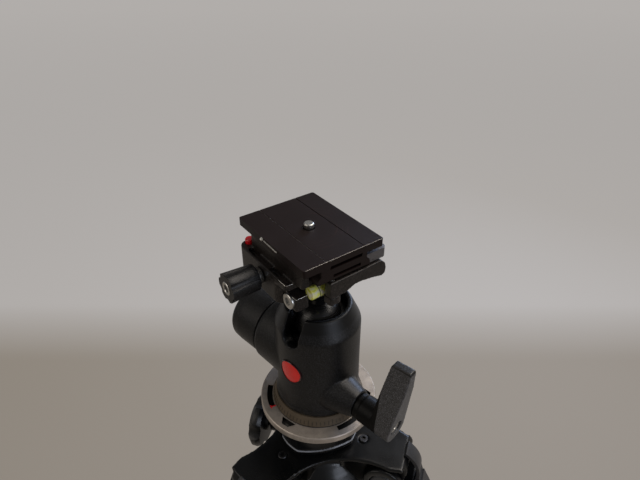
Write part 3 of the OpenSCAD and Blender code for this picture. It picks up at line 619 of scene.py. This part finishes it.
def rubber_finish(name, base_colour):
    """Moulded rubber: dull black that greys a little where it is scuffed."""
    made, tree, place = material(name)
    # scuffs of about 2 mm
    scuff = add(tree, "ShaderNodeTexNoise", {"Vector": place, "Scale": 1 / 0.002, "Detail": 5.0,
                                             "Roughness": 0.7})
    base = add(tree, "ShaderNodeValToRGB", {"Fac": scuff},
               ((0.4, base_colour), (0.75, tint(base_colour, 2.6))))
    relief = add(tree, "ShaderNodeBump", {"Height": scuff, "Strength": 0.3, "Distance": 0.00015})
    fill(tree, tree.nodes["Principled BSDF"], {"Base Color": base, "Roughness": 0.85, "Normal": relief})
    return made


def level_liquid(name, base_colour):
    """Coloured spirit in clear acrylic: bright yellow green with light running through it."""
    made, tree, place = material(name)
    # bright and dark caustics of about 3 mm, as light bends through the tube
    tone = add(tree, "ShaderNodeTexNoise", {"Vector": place, "Scale": 1 / 0.0032, "Detail": 2.0})
    base = add(tree, "ShaderNodeValToRGB", {"Fac": tone}, (
        (0.28, tint(base_colour, 0.5)), (0.42, tint(base_colour, 1.5)),
        (0.54, linear("#f6f5b4")), (0.68, linear("#fcfcec"))))
    fill(tree, tree.nodes["Principled BSDF"], {
        "Base Color": base, "Roughness": 0.08, "Transmission Weight": 0.08,
        "Coat Weight": 1.0, "Coat Roughness": 0.03})
    return made


# ---- operators, one for each piece or group of like pieces ----


class TRIPOD_OT_castings(Operator):
    """Rounds the head's castings and gives them their textured paint"""
    bl_idname = "tripod.castings"
    bl_label = "Head castings"

    def execute(self, context):
        sizes = context.scene.tripod_castings
        paint = textured_paint("sand_textured_black_paint", sizes.paint, sizes.grain, 0.42)
        # the cup's paint is painted near black as shade inside CUP_R
        cup = textured_paint("sand_textured_cup_paint", sizes.paint, sizes.grain, 0.4, CUP_R)
        dusty = textured_paint("handled_black_paint", sizes.clamp_paint, sizes.grain, 0.4)
        # painted highlights along the collar flange's two edges, and painted shade on the collar's top
        flange = ((COLLAR_RIM, 0.0005, 0.55), (COLLAR_RIM - FLANGE, 0.0004, 0.3))
        collar = gloss_paint("black_collar_paint", sizes.gloss_paint, flange,
                             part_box("column_collar")[1][2] - COLLAR_DARK)
        for node, name, voxel, passes, finish, body in (
                ("ball_housing", "housing_casting", sizes.voxel, 3, cup, "housing"),
                ("friction_knob", "friction_knob_casting", sizes.voxel, 3, paint, "friction_knob"),
                ("clamp_body", "clamp_casting", 0.0005, 3, dusty, "clamp"),
                ("clamp_lever", "clamp_lever_casting", 0.0005, 3, dusty, "clamp_lever"),
                ("column_collar", "collar_casting", 0.0006, 2, collar, "shoulder")):
            relaxed_casting(node, name, voxel, passes, finish, body)
        dress_nodes((("head_base", paint, 0.0004), ("tension_knob", paint, 0.0004)))
        return {"FINISHED"}


class TRIPOD_OT_shoulder(Operator):
    """Paints the shoulder, the leg tops and the lock castings"""
    bl_idname = "tripod.shoulder"
    bl_label = "Shoulder and leg castings"

    def execute(self, context):
        paint = gloss_paint("black_gloss_paint", context.scene.tripod_castings.gloss_paint)
        relaxed_casting("shoulder", "shoulder_casting", 0.001, 4, paint, "shoulder")
        for k in "123":
            relaxed_casting("knuckle_" + k, "leg_top_" + k, 0.0011, 3, paint, "leg_" + k)
            dress_nodes((("upper_lock_" + k, paint, 0.0005), ("lower_lock_" + k, paint, 0.0005)))
        return {"FINISHED"}


class TRIPOD_OT_metal(Operator):
    """Gives the disc, screws, plate and tubes their metal finishes"""
    bl_idname = "tripod.metal"
    bl_label = "Metal parts"

    def execute(self, context):
        look = context.scene.tripod_metal
        # the disc's finish carries painted shade on the walls of its windows
        disc = turned_metal("worn_turned_disc", look.disc, 0.4, 0.0005, 0.6, 0.8,
                            (WINDOW_R, DISC_TOP - WINDOW_DEPTH))
        steel = bare_steel("zinc_plated_steel", look.steel, 0.3)
        dark_steel = bare_steel("blackened_steel", linear("#4a4a4c"), 0.38)
        # near black turned metal for the ball, its stem and the plunger
        ball = turned_metal("near_black_ball_metal", linear("#0c0c0d"), 0.3, 0.0004, 0.1, 0.2)
        jaw = bare_steel("grey_anodised_jaw", linear("#7d7c80"), 0.4)
        tan = turned_metal("tan_scale_metal", linear("#5c5040"), 0.55, 0.0006, 0.3, 0.4)
        tube = anodised_tube("black_anodised_tube", look.tube)
        lo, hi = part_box("camera_screw")
        centre = ((lo[0] + hi[0]) / 2, (lo[1] + hi[1]) / 2, 0.0)
        plate = plate_anodising("brown_black_anodised_plate", look.plate, centre)
        dress_nodes((
            ("column_disc", disc, 0.0004), ("head_stud", steel, 0), ("camera_screw", steel, 0.0003),
            ("clamp_pivot_screw", steel, 0.0003), ("clamp_centre_screw", steel, 0),
            ("lock_plunger", ball, 0), ("shoulder_screws", dark_steel, 0.0002), ("ball_stem", ball, 0),
            ("clamp_jaw", jaw, 0.0005), ("pan_scale_ring", tan, 0), ("plate", plate, 0.0002),
            ("column_tube", tube, 0)))
        dress_nodes([(part + "_tube_" + k, tube, 0) for k in "123" for part in ("upper", "mid", "low")])
        return {"FINISHED"}


class TRIPOD_OT_plastics(Operator):
    """Gives levers, knobs, caps, catches and feet their plastic and rubber"""
    bl_idname = "tripod.plastics"
    bl_label = "Plastic and rubber parts"

    def execute(self, context):
        look = context.scene.tripod_plastics
        lever = grained_plastic("grained_black_nylon", tint(look.lever, 0.5), 3.4, 0.4)
        # the lever's finish carries painted shade on its top and its neck
        blade = grained_plastic("grained_lever_nylon", look.lever, 4.6, 0.42, LEVER_TOP, LEVER_NECK)
        smooth = grained_plastic("moulded_black_nylon", tint(look.lever, 0.7), 1.6, 0.4)
        acetal = grained_plastic("dark_acetal", linear("#050505"), 1.3, 0.5)
        knob = grained_plastic("black_knob_nylon", linear("#080809"), 1.6, 0.36)
        red = moulded_gloss("red_moulded_plastic", look.red, 0.2)
        rubber = rubber_finish("black_rubber", look.rubber)
        relaxed_casting("lock_lever", "lock_lever_moulding", 0.0005, 3, blade, "lock_lever")
        dress_nodes((
            ("column_knob", knob, 0.0008), ("column_end_cap", smooth, 0.0005),
            ("pivot_bolts", smooth, 0.0004), ("pan_lock_knob", lever, 0.0005), ("ball_liner", acetal, 0),
            ("ball_seat", acetal, 0), ("safety_button", red, 0.0004)))
        for k in "123":
            dress_nodes((("selector_" + k, smooth, 0.001), ("upper_flip_" + k, smooth, 0.0006),
                         ("lower_flip_" + k, smooth, 0.0006), ("foot_" + k, rubber, 0.0004)))
        return {"FINISHED"}


class TRIPOD_OT_badge(Operator):
    """Makes the round badge, a domed red disc in a dark rim, left without any mark"""
    bl_idname = "tripod.badge"
    bl_label = "Round badge"

    def execute(self, context):
        look = context.scene.tripod_plastics
        out = Vector((math.cos(BADGE_TURN), math.sin(BADGE_TURN), 0))
        side = Vector((-out.y, out.x, 0))
        lo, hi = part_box("badge_disc")
        centre = Vector((0, 0, (lo[2] + hi[2]) / 2)) + out * BADGE_OUT
        red = moulded_gloss("red_enamel", look.badge, 0.16)
        dark = moulded_gloss("dark_badge_rim", linear("#2a0c10"), 0.25)
        # the face's flat thickness, and each radius with its share of the dome's height
        thick = 0.0007
        dome = ((0.0084, 0.0), (0.0080, 0.25), (0.0070, 0.45), (0.006, 0.6), (0.0045, 0.8),
                (0.003, 0.94), (0.0, 1.0))
        face = [(0.0, 0.0), (0.0084, 0.0)] + [(r, thick + look.badge_dome * share) for r, share in dome]
        disc = lathe("badge_face_mesh", face, centre, out, 96)
        rim = lathe("badge_rim_mesh", [
            (0.0083, -0.0002), (0.0091, -0.0002), (0.0091, 0.0009), (0.0088, 0.0012),
            (0.0083, 0.0009), (0.0083, -0.0002)], centre, out, 96)
        # both are bent to follow the round housing
        for mesh in (disc, rim):
            for vertex in mesh.vertices:
                off = vertex.co.dot(side)
                vertex.co -= out * (BADGE_BEND - math.sqrt(BADGE_BEND ** 2 - off ** 2))
            smooth_by_angle(mesh, 30)
        piece("badge_face", disc, red, "housing", ("badge_disc",))
        piece("badge_rim", rim, dark, "housing")
        return {"FINISHED"}


class TRIPOD_OT_level(Operator):
    """Makes the level: a clear tube of coloured spirit with its bubble and two marks"""
    bl_idname = "tripod.level"
    bl_label = "Level"

    def execute(self, context):
        look = context.scene.tripod_plastics
        liquid = level_liquid("yellow_green_spirit", look.liquid)
        bubble = moulded_gloss("level_bubble", linear("#eef2c8"), 0.05)
        black = grained_plastic("level_marks_black", linear("#161616"), 1.3, 0.4)
        across = (clamp_point(0, 1, 0) - clamp_point(0, 0, 0)).normalized()
        start = clamp_point(*LEVEL_START)
        tube = lathe("level_tube_mesh", [
            (0.0, 0.0001), (LEVEL_R - 0.0004, 0.0001), (LEVEL_R, 0.0006),
            (LEVEL_R, 0.0143), (LEVEL_R - 0.0004, 0.0147), (0.0, 0.0147)], start, across, 48)
        piece("level_tube", tube, liquid, "clamp", ("level_vial",))
        top = start + across * 0.0079 + Vector((0, 0, LEVEL_R - 0.0011))
        drop = lathe("level_bubble_mesh", [
            (0.0, -0.0024), (0.0009, -0.002), (0.0013, -0.001), (0.0013, 0.001),
            (0.0009, 0.002), (0.0, 0.0024)], top, across, 24)
        piece("level_bubble", drop, bubble, "clamp")
        under, over = LEVEL_R - 0.0002, LEVEL_R + 0.00012
        for i, at in enumerate((0.0052, 0.0106)):
            ring = lathe("level_mark_mesh", [
                (under, -0.0002), (over, -0.0002), (over, 0.0002), (under, 0.0002), (under, -0.0002)],
                start + across * at, across, 48)
            piece("level_mark_" + str(i + 1), ring, black, "clamp")
        return {"FINISHED"}


def tick_tree():
    """A tree that sets ticks round a ring and ends as one plain mesh."""
    tree = bpy.data.node_groups.new("scale_ticks", "GeometryNodeTree")
    for name, kind in (("Count", "Int"), ("Radius", "Float"), ("Height", "Float"), ("Tick length", "Float"),
                       ("Tick width", "Float"), ("Tick height", "Float"), ("Lean", "Float"),
                       ("Material", "Material")):
        tree.interface.new_socket(name, in_out="INPUT", socket_type="NodeSocket" + kind)
    tree.interface.new_socket("Geometry", in_out="OUTPUT", socket_type="NodeSocketGeometry")
    given = add(tree, "NodeGroupInput").outputs
    ring = add(tree, "GeometryNodeMeshCircle", {"Vertices": given["Count"], "Radius": given["Radius"]})
    up = add(tree, "ShaderNodeCombineXYZ", {"Z": given["Height"]})
    lifted = add(tree, "GeometryNodeTransform", {"Geometry": ring, "Translation": up})
    size = add(tree, "ShaderNodeCombineXYZ", {"X": given["Tick length"], "Y": given["Tick width"],
                                              "Z": given["Tick height"]})
    tick = add(tree, "GeometryNodeMeshCube", {"Size": size})
    count = add(tree, "ShaderNodeMath", {0: 2 * math.pi, 1: given["Count"]}, operation="DIVIDE")
    index = add(tree, "GeometryNodeInputIndex")
    angle = add(tree, "ShaderNodeMath", {0: index, 1: count}, operation="MULTIPLY")
    turn = add(tree, "ShaderNodeCombineXYZ", {"Y": given["Lean"], "Z": angle})
    # every sixth tick is longer
    sixth = add(tree, "ShaderNodeMath", {0: index, 1: 6.0}, operation="MODULO")
    major = add(tree, "ShaderNodeMath", {0: sixth, 1: 0.5}, operation="LESS_THAN")
    longer = add(tree, "ShaderNodeMath", {0: major, 1: 0.7, 2: 1.0}, operation="MULTIPLY_ADD")
    stretch = add(tree, "ShaderNodeCombineXYZ", {"X": longer, "Y": 1.0, "Z": 1.0})
    spread = add(tree, "GeometryNodeInstanceOnPoints", {"Points": lifted, "Instance": tick,
                                                        "Rotation": turn, "Scale": stretch})
    real = add(tree, "GeometryNodeRealizeInstances", {"Geometry": spread})
    painted = add(tree, "GeometryNodeSetMaterial", {"Geometry": real, "Material": given["Material"]})
    add(tree, "NodeGroupOutput", {"Geometry": painted})
    return tree


def grown(name, tree, values):
    """Runs a node tree on an empty mesh and returns the plain mesh it makes."""
    holder = bpy.data.objects.new(name + "_holder", bpy.data.meshes.new(name + "_seed"))
    bpy.context.scene.collection.objects.link(holder)
    runner = holder.modifiers.new("Grow", "NODES")
    runner.node_group = tree
    for item in tree.interface.items_tree:
        if item.in_out == "INPUT":
            runner[item.identifier] = values[item.name]
    view = bpy.context.evaluated_depsgraph_get()
    mesh = bpy.data.meshes.new_from_object(holder.evaluated_get(view))
    mesh.name = name + "_mesh"
    bpy.data.objects.remove(holder)
    return mesh


class TRIPOD_OT_scale(Operator):
    """Sets the ticks of the pan scale"""
    bl_idname = "tripod.scale"
    bl_label = "Pan scale"

    def execute(self, context):
        look = context.scene.tripod_plastics
        ink = grained_plastic("scale_ink", linear("#3d352a"), 1.2, 0.6)
        # the ring's face falls from radius 33.3 at 0.9 mm to 30.7 at 7.2 mm
        lean = math.atan2(6.3, 2.6)
        values = {"Count": look.ticks, "Radius": 0.0325, "Height": DISC_TOP + 0.003,
                  "Tick length": 0.0026, "Tick width": 0.00032, "Tick height": 0.00025,
                  "Lean": lean, "Material": ink}
        mesh = grown("pan_scale_ticks", tick_tree(), values)
        piece("pan_scale_ticks", mesh, None, "column")
        return {"FINISHED"}


def photo_ray(x, y):
    """The ray through a point of the photograph, in the row frame."""
    long_side = max(PHOTO_W, PHOTO_H)
    aim = Vector((x - PHOTO_W / 2 + SHIFT_X * long_side, PHOTO_H / 2 - y + SHIFT_Y * long_side,
                  -long_side * LENS / SENSOR))
    turn = bpy.context.scene.camera.rotation_euler.to_matrix()
    return CAMERA_AT, (turn @ aim).normalized()


def tree_of(objects):
    """One search tree of finished objects as they stand."""
    view = bpy.context.evaluated_depsgraph_get()
    corners, faces = [], []
    for obj in objects:
        mesh = obj.evaluated_get(view).to_mesh()
        start = len(corners)
        corners += [obj.matrix_world @ v.co for v in mesh.vertices]
        faces += [[start + i for i in p.vertices] for p in mesh.polygons]
        obj.evaluated_get(view).to_mesh_clear()
    return BVHTree.FromPolygons(corners, faces)


def on_surface(tree, x, y):
    """Where a point of the photograph lies on a surface. A miss takes the place nearest its ray."""
    start, aim = photo_ray(x, y)
    place = tree.ray_cast(start, aim)[0]
    if place is None:
        # every 4 mm, over the depths at which the object stands from the camera
        tries = [tree.find_nearest(start + aim * (0.2 + 0.004 * i)) for i in range(80)]
        place = min(tries, key=lambda found: found[3])[0]
    return place


def plate_point(along, across, up):
    """A point in millimetres from the middle of the plate, at a height of the clamp's own frame."""
    return clamp_point(PLATE_X + along, PLATE_Y + across, up)


class TRIPOD_OT_marks(Operator):
    """Sets the red mark of the disc and the small fittings"""
    bl_idname = "tripod.marks"
    bl_label = "Small fittings"

    def execute(self, context):
        red = moulded_gloss("red_paint_mark", context.scene.tripod_plastics.red, 0.4)
        steel = bpy.data.materials["zinc_plated_steel"]
        # bright metal for painted highlights along edges, the first also for some wear on the clamp's edges
        shine = bare_steel("edge_wear_and_highlight", linear("#cfccc6"), 0.25)
        plate_highlight = bare_steel("plate_edge_highlight", linear("#8d8984"), 0.35)
        hairline = bare_steel("pale_hairline", linear("#6f6864"), 0.45)
        # a thin painted line on the disc with a bar across its outer end
        place = on_surface(tree_of([NODES["column_disc"]]), *PHOTO_POINTS["red_mark"])
        away = math.atan2(place.y, place.x)
        spot = Matrix.Translation((place.x, place.y, DISC_TOP + 0.00004)) @ Matrix.Rotation(away, 4, "Z")
        work = bmesh.new()
        for out, size in ((0.0, (0.0036, 0.0008, 0.00012, 1.0)), (0.0018, (0.0009, 0.0028, 0.00014, 1.0))):
            bar = bmesh.ops.create_cube(work, size=1.0)["verts"]
            shape = spot @ Matrix.Translation((out, 0, 0)) @ Matrix.Diagonal(size)
            bmesh.ops.transform(work, matrix=shape, verts=bar)
        piece("red_mark", settled(work, "red_mark_mesh"), red, "column")
        # screw in the end of the locking lever
        screw = lathe("lever_screw_mesh", [
            (0.0, 0.0), (0.0048, 0.0), (0.0048, 0.0012), (0.0042, 0.0017), (0.0022, 0.0017),
            (0.0019, 0.0011), (0.0, 0.0011)], head_point(69.4, LEVER_Y, 26.0), (1, 0, 0), 40)
        piece("lever_screw", screw, steel, "lock_lever")
        # nut face in the end of the tension knob, and the bright neck behind the knob
        out = (clamp_point(0, -1, 0) - clamp_point(0, 0, 0)).normalized()
        ring = lathe("tension_knob_ring_mesh", [
            (0.0026, -0.0004), (0.0041, -0.0004), (0.0044, 0.0001), (0.0041, 0.0004), (0.0030, 0.0004),
            (0.0026, 0.0), (0.0026, -0.0004)], clamp_point(*KNOB_END), out, 40)
        piece("tension_knob_ring", ring, steel, "tension_knob")
        neck = lathe("tension_neck_mesh", [
            (0.0049, 0.0), (0.00525, 0.0), (0.0054, 0.0003), (0.0054, 0.0031), (0.0051, 0.0035),
            (0.0049, 0.0035), (0.0049, 0.0)], clamp_point(*KNOB_NECK), out, 48)
        piece("tension_neck", neck, steel, "tension_knob")
        # stop pin, and a painted highlight along the polished edge below the plate's left side
        left = tree_of([bpy.data.objects["clamp_casting"], NODES["plate"]])
        pin = on_surface(left, *PHOTO_POINTS["stop_pin"])
        knob = lathe("stop_pin_mesh", [
            (0.0, -0.001), (0.0013, -0.001), (0.0013, 0.0005), (0.0009, 0.0009), (0.0, 0.001)],
            pin, (0.35, -0.6, 0.7), 32)
        piece("stop_pin", knob, steel, "clamp")
        ends = [on_surface(left, x, y) for x, y in EDGE_HIGHLIGHT_ENDS]
        rod("polished_edge_highlight", ends, 0.00055, shine, "clamp")
        # thin bright lines: painted highlights along the plate's right edge and the clamp's edges, which are
        # partly worn too, and a pale hairline on the plate's top
        right = [plate_point(35.35, across, 140.72) for across in (-27.2, 27.2)]
        rod("plate_edge_line", right, 0.00016, plate_highlight, "plate")
        front = [plate_point(along, -13.3, 140.62) for along in (-35.0, 35.0)]
        rod("plate_hairline", front, 0.00014, hairline, "plate")
        for name, corners, up in (
                ("clamp_edge_1", ((5.5, -32.5), (12.8, -32.5), (13.5, -31.8), (13.5, -20.0)), 121.35),
                ("clamp_edge_2", ((7.0, -28.1), (17.1, -28.1), (17.1, -19.4)), 111.5)):
            line = [clamp_point(along, across, up) for along, across in corners]
            rod(name, line, 0.00022, shine, "clamp")
        return {"FINISHED"}


def painted_floor(look):
    """Pale matt paint of the floor, over which the camera sees a backdrop tone that is darker near the
    object's foot and paler further away.
    """
    made, tree, place = material("pale_painted_floor")
    # cloudy tone over about half a metre
    cloud = add(tree, "ShaderNodeTexNoise", {"Vector": place, "Scale": 1 / 0.5, "Detail": 3.0})
    base = add(tree, "ShaderNodeMix", {"Factor": cloud, "A": tint(look.floor, 0.97),
                                       "B": tint(look.floor, 1.03)}, data_type="RGBA")
    shader = tree.nodes["Principled BSDF"]
    fill(tree, shader, {"Base Color": base, "Roughness": 0.9})
    along = add(tree, "ShaderNodeVectorMath", {0: place, 1: CAMERA_WAY}, operation="DOT_PRODUCT")
    reach = add(tree, "ShaderNodeMapRange", {"Value": along, "From Min": 0.2, "From Max": 5.2})
    tone = add(tree, "ShaderNodeValToRGB", {"Fac": reach}, (
        (0.0, tint(look.wall_near, 0.92)), (0.08, look.wall_near),
        (0.118, tint(look.wall_far, 0.88)), (1.0, look.wall_far)))
    glow = add(tree, "ShaderNodeEmission", {"Color": tone, "Strength": 1.0})
    # camera, glossy and transmission rays see the backdrop, and the rest keeps the object's shadow
    path = add(tree, "ShaderNodeLightPath").outputs
    looked = add(tree, "ShaderNodeMath", {0: path["Is Camera Ray"], 1: path["Is Glossy Ray"]},
                 operation="MAXIMUM")
    looked = add(tree, "ShaderNodeMath", {0: looked, 1: path["Is Transmission Ray"]}, operation="MAXIMUM")
    seen = add(tree, "ShaderNodeMath", {0: looked, 1: BACKDROP_SHARE}, operation="MULTIPLY")
    both = add(tree, "ShaderNodeMixShader", {0: seen, 1: shader, 2: glow})
    fill(tree, tree.nodes["Material Output"], {"Surface": both})
    return made


class TRIPOD_OT_stage(Operator):
    """Sets the floor, the lamps and the camera"""
    bl_idname = "tripod.stage"
    bl_label = "Stage"

    def execute(self, context):
        look = context.scene.tripod_stage
        scene = context.scene
        mesh = bpy.data.meshes.new("floor_mesh")
        half = FLOOR_HALF
        corners = [(-half, -half, 0), (half, -half, 0), (half, half, 0), (-half, half, 0)]
        mesh.from_pydata(corners, [], [(0, 1, 2, 3)])
        floor = bpy.data.objects.new("floor", mesh)
        scene.collection.objects.link(floor)
        dress(floor, painted_floor(look))
        floor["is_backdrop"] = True
        # each lamp: place from the top of the disc, side, power and colour
        for name, at, size, power, tone in (
                ("key", (0.35, 0.55, 1.1), 0.9, look.key, "#fff6ec"),
                ("side", (1.1, -0.1, 0.4), 0.45, look.fill * 0.6, "#e6eeff"),
                ("window", (-0.16, 1.15, 0.45), 0.6, look.fill * 1.3, "#c9dcff"),
                ("front", (-0.6, -1.2, 0.9), 1.0, look.fill * 0.8, "#fff4e8")):
            lamp = bpy.data.lights.new(name, "AREA")
            lamp.size = size
            lamp.energy = power
            lamp.color = linear(tone)[:3]
            obj = bpy.data.objects.new(name, lamp)
            obj.location = (at[0], at[1], DISC_TOP + at[2])
            obj.rotation_euler = (-Vector(at)).to_track_quat("-Z", "Y").to_euler()
            scene.collection.objects.link(obj)
        world = bpy.data.worlds.new("even_room")
        world.use_nodes = True
        room = world.node_tree
        fill(room, room.nodes["Background"], {"Color": linear("#f4f1ee"), "Strength": look.sky})
        scene.world = world
        data = bpy.data.cameras.new("photo_camera")
        data.sensor_fit = "AUTO"
        data.sensor_width = SENSOR
        data.lens = LENS
        data.shift_x = SHIFT_X
        data.shift_y = SHIFT_Y
        data.dof.use_dof = False
        data.clip_start = 0.01
        data.clip_end = 50.0
        camera = bpy.data.objects.new("photo_camera", data)
        camera.location = CAMERA_AT
        camera.rotation_euler = CAMERA_TURN
        scene.collection.objects.link(camera)
        scene.camera = camera
        scene.view_settings.view_transform = "Standard"
        return {"FINISHED"}


class TRIPOD_PT_panel(Panel):
    """Lists the steps in the order they are run"""
    bl_label = "Tripod"
    bl_idname = "TRIPOD_PT_panel"
    bl_space_type = "VIEW_3D"
    bl_region_type = "UI"
    bl_category = "Tripod"

    def draw(self, context):
        for step in STEPS:
            self.layout.operator(step.bl_idname)
        for name, _ in GROUPS:
            group = getattr(context.scene, name)
            box = self.layout.box()
            for key in group.bl_rna.properties.keys():
                if key not in ("rna_type", "name"):
                    box.prop(group, key)


STEPS = (TRIPOD_OT_stage, TRIPOD_OT_castings, TRIPOD_OT_shoulder, TRIPOD_OT_metal, TRIPOD_OT_plastics,
         TRIPOD_OT_badge, TRIPOD_OT_level, TRIPOD_OT_scale, TRIPOD_OT_marks)
GROUPS = (("tripod_castings", CastingSettings), ("tripod_metal", MetalSettings),
          ("tripod_plastics", PlasticSettings), ("tripod_stage", StageSettings))


def register():
    for name, group in GROUPS:
        bpy.utils.register_class(group)
        setattr(bpy.types.Scene, name, PointerProperty(type=group))
    for step in STEPS:
        bpy.utils.register_class(step)
    bpy.utils.register_class(TRIPOD_PT_panel)


def unregister():
    bpy.utils.unregister_class(TRIPOD_PT_panel)
    for step in reversed(STEPS):
        bpy.utils.unregister_class(step)
    for name, group in GROUPS:
        delattr(bpy.types.Scene, name)
        bpy.utils.unregister_class(group)


# ---- the shown pieces' meshes ----


def write_points():
    """Evaluates the mesh of each shown piece and frees it again."""
    shown = [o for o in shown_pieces() if o.type == "MESH"]
    view = bpy.context.evaluated_depsgraph_get()
    for obj in shown:
        mesh = obj.evaluated_get(view).to_mesh()
        obj.evaluated_get(view).to_mesh_clear()


def main():
    register()
    for step in STEPS:
        group, name = step.bl_idname.split(".")
        getattr(getattr(bpy.ops, group), name)()
    write_points()


if __name__ == "__main__":
    main()
